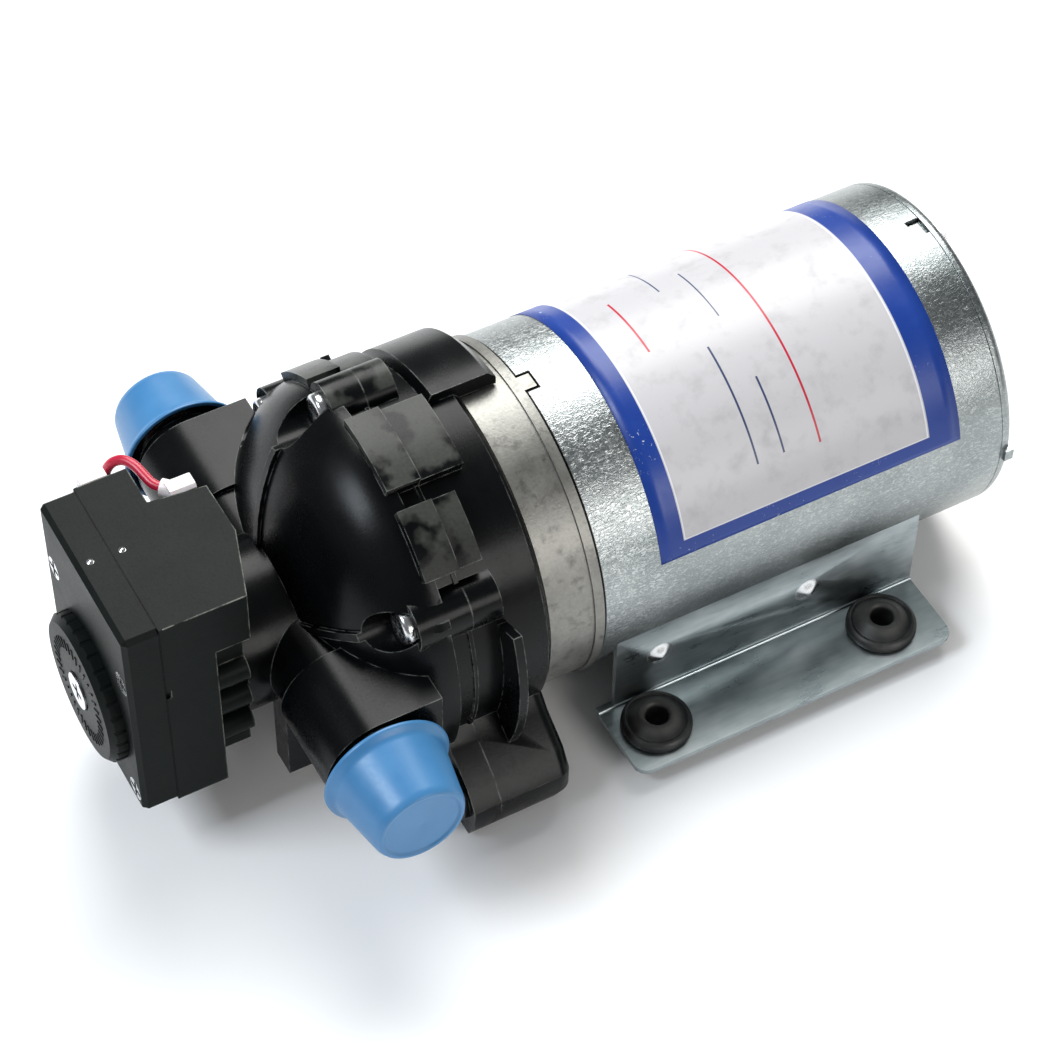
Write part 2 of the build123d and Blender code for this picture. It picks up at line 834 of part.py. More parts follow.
def rear_housing():
    body = turned((-bell_length, 0), (-bell_length, rear_radius - rear_edge),
                  (-bell_length - rear_edge, rear_radius),
                  (-parting, rear_radius), (-parting, 0))
    for (low, high), length in zip(rear_pad_angles, rear_pad_lengths):
        body += pad(flange_pad_radius, rear_cavity_radius, -parting, length - parting, low, high)
    lug_low, lug_high = lug_angles
    lug_top = rear_radius + lug_proud
    lug_end = lug_reach - bell_length
    lug = turned((-bell_length - lug_start, 0), (-bell_length - lug_start, rear_radius - rear_edge),
                 (-bell_length - lug_start + lug_bevel, lug_top), (lug_end - lug_bevel, lug_top),
                 (lug_end, lug_top - lug_bevel), (lug_end, 0))
    lug -= rod(bell_radius + lug_gap, -bell_length - lug_start - overrun, lug_end + overrun)
    body += lug & wedge(-bell_length - lug_start, lug_end, lug_low, lug_high, 2 * rear_radius)
    rib_low, rib_high = rib_angles
    rib_front = rib_setback - parting
    for flip in (False, True):
        rib = pad(rear_radius + rib_reach, rear_cavity_radius, rib_front, rib_front + rib_thickness,
                  rib_low, rib_high)
        body += mirrored(rib) if flip else rib
    for side in (-1, 1):
        lobe = plate(lobe_outline(side), -parting, -bell_length)
        body += fillet(lobe.edges().group_by(Axis.X)[-1], lobe_round)
    for number in range(len(screw_angles)):
        y, z, face = screw_place(number)
        body += rod(housing_boss_radius, -parting, housing_screw_depth - parting, y, z)
    body -= rod(rear_cavity_radius, -parting - overrun, -bell_length - rear_wall)
    body += tube(rear_cavity_radius + overrun, rear_cavity_radius - ledge_width,
                 diaphragm_rear, diaphragm_rear + ledge_width)
    body -= rod(diaphragm_radius + close_fit, -parting - overrun, diaphragm_rear)
    body -= rod(cam_hole_radius, -parting, overrun - bell_length)
    for number in range(len(screw_angles)):
        y, z, face = screw_place(number)
        body -= rod(housing_screw_radius + close_fit, -parting - overrun, housing_screw_depth - parting, y,
                    z)
    body -= rod(bell_radius + bell_lip + lug_gap, -bell_length, overrun)
    return body - underside()


def cam():
    base_rear = journal_rear + collar_length + cam_base_length
    body = tilted * rod(journal_radius - press_gap, -drive_bearing_width / 2,
                        drive_bearing_width / 2 + overrun)
    body += tilted * rod(collar_radius, drive_bearing_width / 2 + press_gap,
                         drive_bearing_width / 2 + collar_length)
    body += rod(cam_base_radius, journal_rear + collar_length - overrun / 2, base_rear)
    return body - rod(shaft_radius + press_gap, journal_front - overrun, base_rear + overrun)


def piston_place(number):
    """Y and Z of one piston on the wobble plate."""
    return polar(piston_pitch, piston_angles[number])


def wobble_plate():
    half = drive_bearing_width / 2
    bore = drive_bearing_radius + press_gap
    outer = bore + wobble_wall
    front = disc_front - drive_middle
    rear = disc_rear - drive_middle
    body = tube(outer, bore, rear - press_gap, half)
    body += rod(outer, front, rear)
    for number in range(len(piston_angles)):
        y, z = piston_place(number)
        arm = block(front, rear, -arm_half_width, arm_half_width, 0, piston_pitch)
        body += Rot(piston_angles[number] - 90, 0, 0) * arm
        body += rod(arm_half_width, front, rear, y, z)
        body += rod(piston_post_radius, diaphragm_rear - drive_middle, rear, y, z)
    for number in range(len(piston_angles)):
        y, z = piston_place(number)
        tip = diaphragm_rear - drive_middle
        body -= rod(post_screw_radius + close_fit, tip - overrun, tip + piston_screw_length, y, z)
    return tilted * body


def drive_bearing():
    return bearing_rings(journal_radius, drive_bearing_ring, drive_bearing_ring, drive_bearing_radius,
                         drive_bearing_width, drive_ball)


def diaphragm():
    disc = rod(diaphragm_radius, -parting, diaphragm_rear)
    for number in range(len(piston_angles)):
        y, z = piston_place(number)
        disc -= rod(piston_disc_radius + piston_roll_gap, -parting - overrun, diaphragm_rear + overrun, y,
                    z)
    return disc


def piston_discs():
    """The three thick discs of the diaphragm that the wobble plate pushes."""
    discs = []
    rear = diaphragm_rear - drive_middle
    for number in range(len(piston_angles)):
        y, z = piston_place(number)
        disc = tube(piston_disc_radius, post_screw_radius + close_fit, rear - diaphragm_thickness, rear, y,
                    z)
        discs.append((tilted * disc).solid())
    return Compound(discs)


def piston_inserts():
    inserts = []
    rear = diaphragm_rear - drive_middle - diaphragm_thickness
    for number in range(len(piston_angles)):
        y, z = piston_place(number)
        insert = tube(insert_radius, post_screw_radius + close_fit, rear - insert_thickness, rear, y, z)
        inserts.append((tilted * insert).solid())
    return Compound(inserts)


def piston_screws():
    screws = []
    seat = diaphragm_rear - drive_middle - diaphragm_thickness - insert_thickness
    tip = diaphragm_rear - drive_middle + piston_screw_length - close_fit
    for number in range(len(piston_angles)):
        y, z = piston_place(number)
        screw = rod(piston_screw_head, seat - piston_screw_height, seat, y, z)
        screw += rod(post_screw_radius, seat, tip, y, z)
        screws.append((tilted * screw).solid())
    return Compound(screws)


def inlet_valve_place(number):
    """Y and Z of the umbrella valve in one chamber, out from the chamber's middle."""
    return polar(piston_pitch * inlet_valve_share, piston_angles[number])


def valve_plate():
    body = rod(plate_radius, plate_front, -parting)
    floor = -parting - chamber_depth
    for number in range(len(piston_angles)):
        y, z = piston_place(number)
        body -= rod(chamber_radius, floor, overrun - parting, y, z)
        y, z = inlet_valve_place(number)
        body -= rod(valve_stem_radius + close_fit, plate_front - overrun, floor + overrun, y, z)
        for step in range(inlet_holes):
            dy, dz = polar(inlet_hole_pitch, piston_angles[number] + 360 * step / inlet_holes)
            body -= rod(inlet_hole_radius, plate_front - overrun, floor + overrun, y + dy, z + dz)
        y, z = polar(outlet_hole_pitch, piston_angles[number])
        body -= rod(outlet_hole_radius, plate_front - overrun, floor + overrun, y, z)
    body -= rod(valve_stem_radius + close_fit, plate_front - overrun, floor + overrun)
    groove = revolve(Pos(plate_front, seal_ring_radius) * Circle(seal_radius + close_fit), Axis.X)
    return body - groove


def inlet_valves():
    valves = []
    floor = -parting - chamber_depth + valve_seat_gap
    for number in range(len(piston_angles)):
        y, z = inlet_valve_place(number)
        valve = rod(inlet_valve_radius, floor, floor + inlet_valve_thickness, y, z)
        valve += rod(valve_stem_radius, plate_front - inlet_valve_thickness, floor, y, z)
        valves.append(valve.solid())
    return Compound(valves)


def outlet_valve():
    seat = plate_front - valve_seat_gap
    valve = rod(outlet_valve_radius, seat - outlet_valve_thickness, seat)
    return valve + rod(valve_stem_radius, seat, -parting - chamber_depth)


def outlet_seal():
    return revolve(Pos(plate_front, seal_ring_radius) * Circle(seal_radius), Axis.X)


def port_bore(side, radius, start, end):
    """A cut along one port's axis, between two distances from the middle of the pump."""
    return cross_rod(radius, side * start, side * end, -port_axis_x, port_axis_z)


def port_block(side):
    """The round boss behind one port's stub, squared off on the side towards the flange."""
    boss = port_bore(side, port_boss_radius, port_block_start, port_block_end)
    return boss + block(-port_axis_x, port_shoulder_width - port_axis_x, side * port_block_start,
                        side * port_block_end, port_axis_z - port_boss_radius,
                        port_axis_z + port_boss_radius)


def port_stub(side):
    """The threaded stub of one port, with the crests of its thread as rings."""
    stub = port_bore(side, stub_radius - thread_depth, port_block_end - overrun, stub_end)
    stub += port_bore(side, stub_collar_radius, port_block_end - overrun,
                      port_block_end + stub_collar_length)
    first = stub_end - thread_turns * thread_pitch
    for number in range(thread_turns):
        start = first + number * thread_pitch
        root = stub_radius - thread_depth
        profile = Polyline((0, start), (root, start), (stub_radius, start + thread_pitch / 2),
                           (root, start + thread_pitch - close_fit), (0, start + thread_pitch - close_fit),
                           close=True)
        ring = revolve(make_face(profile), Axis.Y)
        ring = ring if side > 0 else mirrored(ring)
        stub += Pos(-port_axis_x, 0, port_axis_z) * ring
    return stub


def dome():
    """The bulging front of the housing, a quarter of an ellipse turned round the shaft."""
    arc = EllipticalCenterArc((-dome_centre, 0), dome_depth, dome_radius, 90, arc_size=90)
    outline = arc + Line((dome_apex, 0), (-dome_centre, 0)) + Line((-dome_centre, 0),
                                                                   (-dome_centre, dome_radius))
    return revolve(make_face(outline), Axis.X)


def front_housing():
    body = rod(rear_radius, flange_front, -parting) + dome()
    for low, high in front_pad_angles:
        body += pad(flange_pad_radius + front_pad_extra, rear_cavity_radius, flange_front, -parting, low,
                    high)
    body += tube(rear_radius + seam_lip, rear_radius - seam_lip, -parting - seam_lip_length, -parting)
    lobe_face = flange_front + front_foot_setback
    for side in (-1, 1):
        body += plate(lobe_outline(side), lobe_face, -parting)
    body += cross_rod(port_core_radius, -port_block_start - overrun, port_block_start + overrun,
                      -port_axis_x, port_axis_z)
    for side in (-1, 1):
        body += port_block(side)
    neck = rod(neck_radius, -neck_front, dome_apex + dome_depth / 2, 0, switch_axis_z)
    body = body + neck + port_stub(-1) + port_stub(1)
    for angle in seam_angles:
        body += seam(angle)
    for side in (-1, 1):
        middle = side * foot_offset
        body += block(-foot_front, foot_length - foot_front, middle - foot_half_width,
                      middle + foot_half_width,
                      -foot_bottom, port_axis_z)
        body += block(foot_length - foot_front - overrun, flange_front, middle - foot_half_width / 2,
                      middle + foot_half_width / 2, foot_half_width - foot_bottom, port_axis_z)
    for number in range(len(screw_angles)):
        y, z, face = screw_place(number)
        body += rod(housing_boss_radius, face, -parting, y, z)
    for number in range(len(screw_angles)):
        y, z, face = screw_place(number)
        body -= rod(housing_head_radius + head_pocket_gap, dome_apex, face, y, z)
        body -= rod(housing_screw_radius + close_fit, dome_apex, overrun - parting, y, z)
    body -= rod(plate_radius + close_fit, plate_front, overrun - parting)
    body -= tube(inlet_ring_outer, inlet_ring_inner, plate_front - inlet_ring_depth, plate_front + overrun)
    body -= rod(outlet_chamber_radius, plate_front - outlet_chamber_depth, plate_front + overrun)
    gland = seal_radius + close_fit
    body -= tube(seal_ring_radius + gland, seal_ring_radius - gland, plate_front - gland,
                 plate_front + overrun)
    body -= rod(sense_hole_radius, -neck_front - overrun, plate_front - outlet_chamber_depth / 2, 0,
                switch_axis_z)
    body -= port_bore(1, port_bore_radius, inlet_bore_end, stub_end + overrun)
    body -= rod(transfer_radius, -port_axis_x, plate_front - inlet_ring_depth / 2, transfer_offset,
                port_axis_z)
    body -= port_bore(-1, port_bore_radius, valve_seat_offset, stub_end + overrun)
    body -= port_bore(-1, seat_bore_radius, 0, valve_seat_offset + overrun)
    return body - underside()


def seam(angle):
    """A thin raised rib on the dome in a plane through the shaft."""
    half = seam_half_thickness
    lift = (dome_radius + seam_proud) / dome_radius
    arc = EllipticalCenterArc((-dome_centre, 0), dome_depth * lift, dome_radius * lift, 90, arc_size=90)
    tip = (-dome_centre - dome_depth * lift, 0)
    outline = arc + Line(tip, (-dome_centre, 0)) + Line((-dome_centre, 0),
                                                        (-dome_centre, dome_radius * lift))
    rib = extrude(Plane.XZ.offset(-half) * make_face(outline), 2 * half)
    return Rot(angle - 90, 0, 0) * rib


def housing_screws():
    screws = []
    for number in range(len(screw_angles)):
        y, z, face = screw_place(number)
        crown = face - housing_head_height
        head = rod(housing_head_radius, crown, face, y, z)
        head = fillet(head.edges().group_by(Axis.X)[0], housing_head_height / 2)
        shank = rod(housing_screw_radius, face, housing_screw_depth - parting - close_fit, y, z)
        screws.append((head + shank - cross_recess(crown, y, z)).solid())
    return Compound(screws)


def check_valve_poppet():
    start = valve_seat_offset + close_fit
    poppet = port_bore(-1, poppet_radius, start, start + poppet_thickness)
    return poppet + port_bore(-1, poppet_stem_radius, start, start + poppet_stem_length)


guide_start = valve_seat_offset + close_fit + poppet_thickness + poppet_travel + poppet_spring_radius


def check_valve_guide():
    """A spider pressed into the port bore that the poppet's stem slides in."""
    guide = port_bore(-1, port_bore_radius - press_gap, guide_start, guide_start + guide_thickness)
    guide -= port_bore(-1, poppet_stem_radius + running_gap, guide_start - overrun,
                       guide_start + guide_thickness + overrun)
    circle = (guide_hub_radius + port_bore_radius) / 2
    for number in range(guide_holes):
        dx = circle * cos(radians(360 * number / guide_holes))
        dz = circle * sin(radians(360 * number / guide_holes))
        guide -= cross_rod(guide_hole_radius, -guide_start + overrun,
                           -guide_start - guide_thickness - overrun,
                           dx - port_axis_x, dz + port_axis_z)
    return guide


def check_valve_spring():
    start = valve_seat_offset + close_fit + poppet_thickness + close_fit
    spring = port_bore(-1, poppet_spring_radius, start, guide_start - close_fit)
    return spring - port_bore(-1, poppet_spring_radius - poppet_spring_wall, start - overrun,
                              guide_start + overrun)


def near_cap():
    """The cap on the near port: a tapered cup with a flared rim."""
    mouth = cap_start
    end = mouth + cap_length
    flare = mouth + cap_rim_length
    outer = Polyline((0, mouth), (cap_rim_radius, mouth), (cap_mouth_radius, flare),
                     (cap_end_radius, end - cap_end_round),
                     (cap_end_radius - cap_end_round, end), (0, end), close=True)
    inner = Polyline((0, mouth - overrun), (cap_rim_radius - cap_wall, mouth - overrun),
                     (cap_rim_radius - cap_wall, mouth),
                     (cap_mouth_radius - cap_wall, flare),
                     (cap_end_radius - cap_wall, end - cap_end_round - cap_wall),
                     (cap_end_radius - cap_wall, end - cap_wall), (0, end - cap_wall), close=True)
    cup = revolve(make_face(outer), Axis.Y) - revolve(make_face(inner), Axis.Y)
    return Pos(-port_axis_x, 0, port_axis_z) * mirrored(cup)


cap_start = stub_end + cap_wall + part_gap - cap_length


def switch_outline():
    """The top view of the box behind the parting: the overhang, with its notch for one connector."""
    rear_far, rear_near, corner = overhang_outline
    half = switch_half_width
    return [(cover_back, half), (-notch_front, half), (-notch_front, notch_depth),
            (-rear_far[0], rear_far[1]),
            (-rear_near[0], rear_near[1]), (-corner[0], corner[1]), (cover_back, corner[1])]


def neck_block():
    """The squarish neck of the switch body, ribbed along its near and far sides."""
    low = switch_axis_z - neck_half_height
    high = overhang_bottom + switch_wall
    neck = block(lower_rear - overrun, switch_back, -neck_half_width, neck_half_width, low, high)
    pitch = 2 * neck_half_height / (neck_ribs + 1)
    for number in range(neck_ribs):
        for side in (-neck_half_width, neck_half_width):
            neck += rod(neck_rib_radius, lower_rear - overrun, switch_back, side,
                        low + pitch * (number + 1))
    return neck


def switch_body():
    half = switch_half_width
    body = block(cover_back, lower_rear, -half, half, switch_bottom, overhang_bottom + switch_wall)
    lid = extrude(Plane.XY.offset(overhang_bottom) * make_face(Polyline(*switch_outline(), close=True)),
                  switch_top - overhang_bottom)
    body = body + lid + neck_block()
    inner_half = half - switch_wall
    roof = switch_top - switch_wall
    body -= block(cover_back - overrun, lower_rear - switch_wall, -inner_half, inner_half, pocket_bottom,
                  roof)
    inside = offset(make_face(Polyline(*switch_outline(), close=True)), -switch_wall,
                    kind=Kind.INTERSECTION)
    body -= extrude(Plane.XY.offset(overhang_bottom + switch_wall) * inside,
                    roof - overhang_bottom - switch_wall)
    arm = plunger_arm_half_width + part_gap
    body -= block(-spring_bore_start, switch_back - switch_diaphragm_thickness, -arm, arm, 0,
                  overhang_bottom + 2 * switch_wall)
    body -= rod(switch_diaphragm_radius + close_fit, switch_back - switch_diaphragm_thickness - close_fit,
                switch_back + overrun, 0, switch_axis_z)
    body -= rod(switch_bore_radius, -spring_bore_start, switch_back, 0, switch_axis_z)
    body -= rod(spring_bore_radius, cover_back - overrun, switch_back, 0, switch_axis_z)
    key = seat_key_half_width + seat_key_gap
    body -= block(cover_back - overrun, -spring_bore_start, -key, key,
                  switch_axis_z - seat_key_radius - seat_key_gap, switch_axis_z)
    for height in corner_screw_heights:
        for side in (-corner_screw_y, corner_screw_y):
            body += rod(corner_post_radius, cover_back, lower_rear - switch_wall, side, height)
    body -= corner_screw_holes()
    body -= blade_slot(blade_front_x, half)
    body -= blade_slot(blade_rear_x, notch_depth)
    body -= rod(button_radius + button_gap, micro_rear - overrun, overrun - spring_bore_start, 0, button_z)
    body -= block(cover_back - overrun, cover_back + window_half_size, -half - overrun, window_depth - half,
                  window_height - window_half_size, window_height + window_half_size)
    return body


def blade_slot(x, wall):
    """The slot that one blade comes out through, in a wall whose far face is at the given Y."""
    half_x = blade_width / 2 + blade_slot_gap
    half_z = blade_thickness / 2 + blade_slot_gap
    return block(-x - half_x, half_x - x, wall - switch_wall - 2 * overrun, wall + overrun,
                 blade_height - half_z, blade_height + half_z)


def corner_screw_holes():
    holes = Part()
    for height in corner_screw_heights:
        for side in (-corner_screw_y, corner_screw_y):
            holes += rod(corner_screw_radius + close_fit, -switch_front - overrun,
                         corner_screw_length - switch_front + corner_screw_height + close_fit, side, height)
    return holes


def switch_cover():
    half = switch_half_width
    inner_half = half - switch_wall
    cover = block(-switch_front, cover_back, -half, half, switch_bottom, switch_top)
    cover = chamfer(cover.edges().filter_by(Axis.X) + cover.edges().group_by(Axis.X)[0], switch_edge)
    cover -= block(switch_wall - switch_front, cover_back + overrun, -inner_half, inner_half,
                   switch_bottom + switch_wall, switch_top - switch_wall)
    for height in corner_screw_heights:
        for side in (-corner_screw_y, corner_screw_y):
            cover += rod(corner_post_radius, switch_wall - switch_front - close_fit, cover_back, side,
                         height)
            cover -= rod(corner_screw_head + close_fit, -switch_front - overrun,
                         corner_screw_height - switch_front, side, height)
    cover -= corner_screw_holes()
    cover -= rod(adjust_screw_radius + running_gap, -switch_front - overrun,
                 overrun - switch_front + switch_wall, 0, switch_axis_z)
    return cover


def adjuster_cap():
    """The round boss on the front of the cover, fluted round its edge, that the adjusting screw sits in."""
    face = knob_front
    back = -switch_front
    disc = turned((face, 0), (face, knob_radius - knob_bevel), (face + knob_bevel, knob_radius),
                  (back, knob_radius), (back, 0))
    for number in range(knob_flutes):
        y, z = polar(knob_radius + flute_radius / 2, 360 * number / knob_flutes)
        disc -= rod(flute_radius, face - overrun, back + overrun, y, z)
    disc -= rod(adjust_head_radius + part_gap, face - overrun,
                face + adjust_head_height - adjust_head_proud)
    disc -= rod(adjust_screw_radius + running_gap, face - overrun, back + overrun)
    return Pos(0, 0, switch_axis_z) * disc


def adjusting_screw():
    crown = knob_front - adjust_head_proud
    head = rod(adjust_head_radius, crown, crown + adjust_head_height - close_fit, 0, switch_axis_z)
    screw = head + rod(adjust_screw_radius, crown, crown + adjust_screw_length, 0, switch_axis_z)
    collar_front = switch_wall - switch_front + close_fit
    screw += rod(adjust_collar_radius, collar_front, collar_front + adjust_collar_length, 0, switch_axis_z)
    return screw - cross_recess(crown, 0, switch_axis_z)


def spring_seat():
    front = -seat_front
    seat = tube(seat_radius, adjust_screw_radius + running_gap, front, front + seat_thickness, 0,
                switch_axis_z)
    seat += block(front, front + seat_thickness, -seat_key_half_width, seat_key_half_width,
                  switch_axis_z - seat_key_radius, switch_axis_z - adjust_screw_radius - overrun)
    return seat


plunger_rear = switch_back - switch_diaphragm_thickness - 2 * close_fit
plunger_front = plunger_rear - plunger_thickness


def switch_plunger():
    plunger = rod(plunger_radius, plunger_front, plunger_rear, 0, switch_axis_z)
    plunger += rod(plunger_stem_radius, plunger_front - plunger_stem_length, plunger_front, 0,
                   switch_axis_z)
    half = plunger_arm_half_width
    return plunger + block(plunger_front, plunger_rear, -half, half, switch_axis_z, plunger_arm_top)


def pressure_spring():
    front = seat_thickness - seat_front + close_fit
    return tube(spring_radius, spring_radius - spring_wall, front, plunger_front - close_fit, 0,
                switch_axis_z)


def switch_diaphragm():
    rear = switch_back - close_fit
    return rod(switch_diaphragm_radius, rear - switch_diaphragm_thickness + close_fit, rear, 0,
               switch_axis_z)


micro_rear = micro_size[0] - micro_front
micro_far = switch_half_width - switch_wall - micro_far_gap


def micro_switch():
    half_z = micro_size[2]
    body = block(-micro_front, micro_rear, micro_far - micro_size[1], micro_far, micro_bottom,
                 micro_bottom + half_z)
    return body - rod(button_radius + button_gap, micro_rear - button_depth - plunger_travel,
                      micro_rear + overrun, 0, button_z)


button_z = (overhang_bottom + plunger_arm_top) / 2


def micro_button():
    return rod(button_radius, micro_rear - button_depth, plunger_front - close_fit, 0, button_z)


def blade(x, wall, near):
    """One flat blade through a wall, from its root inside the box."""
    half_z = blade_thickness / 2
    return block(-x - blade_width / 2, blade_width / 2 - x, near, wall + blade_reach, blade_height - half_z,
                 blade_height + half_z)


def switch_terminals():
    """Two blades that come out of the far wall, and the strips that carry them on the micro switch."""
    half_z = blade_thickness / 2
    low = micro_top + close_fit
    near = micro_far - blade_root
    front_blade = blade(blade_front_x, switch_half_width, near)
    front_blade += block(-blade_front_x - half_z, half_z - blade_front_x, near, near + blade_root, low,
                         blade_height)
    near = notch_depth - switch_wall - 2 * overrun - blade_root
    rear_blade = blade(blade_rear_x, notch_depth, near)
    strip_front = micro_rear - blade_width
    rear_blade += block(strip_front, -blade_rear_x, near, near + blade_root, blade_height - half_z,
                        blade_height + half_z)
    rear_blade += block(strip_front, strip_front + blade_thickness, near, near + blade_root, low,
                        blade_height)
    return Compound([front_blade.solid(), rear_blade.solid()])


micro_top = micro_bottom + micro_size[2]


def barrel_place(x, wall, dip, turn):
    """The frame of a connector's crimped barrel, whose -X direction is the way the lead leaves."""
    middle = wall + part_gap + connector_width / 2
    return Pos(barrel_root - connector_length / 2 - x, middle, blade_height) * Rot(0, -dip, -turn)


def connector(x, wall, dip, turn):
    """A push-on connector on its blade, with its barrel bent the way the lead goes."""
    start = wall + part_gap
    half = connector_length / 2
    half_z = connector_height / 2
    shell = block(-x - half, half - x, start, start + connector_width, blade_height - half_z,
                  blade_height + half_z)
    shell = chamfer(shell.edges().filter_by(Axis.X), connector_edge)
    shell += barrel_place(x, wall, dip, turn) * rod(barrel_radius, -barrel_root - barrel_length, 0)
    gap = connector_slot_gap
    half_x = blade_width / 2 + gap
    half_z = blade_thickness / 2 + gap
    return shell - block(-x - half_x, half_x - x, start - overrun, wall + blade_reach + gap,
                         blade_height - half_z, blade_height + half_z)


front_connector_place = (blade_front_x, switch_half_width, front_barrel_dip, 0)
rear_connector_place = (blade_rear_x, notch_depth, 0, rear_barrel_turn)


def spade_connectors():
    return Compound([connector(*front_connector_place).solid(), connector(*rear_connector_place).solid()])


def barrel_end(place, ahead=0):
    """The point where a lead leaves its connector's barrel, or one that lies straight ahead of it."""
    end = barrel_place(*place) * Pos(-barrel_root - barrel_length - ahead, 0, 0)
    return tuple(end.position)


def switch_screws():
    screws = []
    for height in corner_screw_heights:
        for side in (-corner_screw_y, corner_screw_y):
            crown = -switch_front + close_fit
            seat = corner_screw_height - switch_front
            screw = rod(corner_screw_head, crown, seat, side, height)
            screw += rod(corner_screw_radius, crown, seat + corner_screw_length, side, height)
            screws.append((screw - cross_recess(crown, side, height)).solid())
    return Compound(screws)


# The routes of the two leads, from their connectors down the far side of the switch, back under the far
# port and into the grommet in the bell. The first point is the barrel's end, the last the grommet's face.
front_lead_route = [barrel_end(front_connector_place),
                    barrel_end(front_connector_place, front_lead_straight),
                    (-106.8, 27.8, 24.2), (-105.9, 29.6, 14.2),
                    (-102.8, 32.0, 2.5), (-98.4, 33.9, -7.5), (-90.5, 36.0, -16.5), (-78.5, 38.9, -22.6),
                    (-64.0, 44.5, -24.0), (-49.5, 51.5, -20.5), (-36.5, 58.0, -15.0), (-24.5, 62.0, -9.5),
                    (-14.8, 61.0, -6.5), (lead_hole_x, 54.8, lead_hole_z + lead_spacing / 2),
                    (lead_hole_x, bell_radius + lead_grommet_proud, lead_hole_z + lead_spacing / 2)]
rear_lead_route = [barrel_end(rear_connector_place), barrel_end(rear_connector_place, rear_lead_straight),
                   (-89.1, 22.4, 36.2), (-90.0, 26.0, 37.0), (-91.8, 29.3, 36.7), (-94.4, 31.1, 34.6),
                   (-95.9, 32.2, 29.4), (-96.9, 33.6, 20.6),
                   (-97.0, 35.6, 9.5), (-94.2, 38.6, -3.2), (-87.4, 41.8, -15.0), (-76.0, 45.5, -24.6),
                   (-62.0, 49.5, -28.0), (-48.0, 54.8, -24.5), (-35.5, 60.5, -19.0), (-24.0, 65.0, -14.0),
                   (-14.0, 63.6, -10.5), (lead_hole_x, 55.6, lead_hole_z - lead_spacing / 2),
                   (lead_hole_x, bell_radius + lead_grommet_proud, lead_hole_z - lead_spacing / 2)]


def corner_radii(route):
    """One arc for each corner, 0.45 of the shorter run over the tangent of half the turn."""
    radii = []
    for before, here, after in zip(route, route[1:], route[2:]):
        first = Vector(here) - Vector(before)
        second = Vector(after) - Vector(here)
        half_turn = radians(first.get_angle(second)) / 2
        radii.append(0.45 * min(first.length, second.length) * cos(half_turn) / sin(half_turn))
    return radii


def lead(name, route):
    """A round lead along straight runs joined by tangent arcs."""
    radii = corner_radii(route)
    path = FilletPolyline(*route, radius=radii)
    tube_solid = sweep(Plane(origin=path @ 0, z_dir=path % 0) * Circle(lead_radius), path=path)
    ideal = pi * lead_radius ** 2 * path.length
    print(name, "length %.1f" % path.length, "volume share %.4f" % (tube_solid.volume / ideal))
    print(name, "radii", " ".join("%.1f" % radius for radius in radii))
    print(name, "starts at %.2f %.2f %.2f" % tuple(route[0]), "then %.2f %.2f %.2f" % tuple(route[1]))
    return tube_solid


def bearing_pieces():
    """Both ball bearings, each as inner ring, outer ring and balls."""
    inner, outer, circle = bearing_rings(shaft_radius + press_gap, bearing_ring, bearing_ring,
                                         bearing_radius - press_gap,
                                         bearing_width, bearing_ball)
    place = Pos(bearing_middle, 0, 0)
    motor = [place * inner, place * outer,
             [place * ball for ball in ball_set(circle, bearing_ball, bearing_balls)]]
    inner, outer, circle = drive_bearing()
    drive = [tilted * inner, tilted * outer,
             [tilted * ball for ball in ball_set(circle, drive_ball, drive_balls)]]
    return motor, drive


def group(shapes):
    return Compound([shape.solid() for shape in shapes])


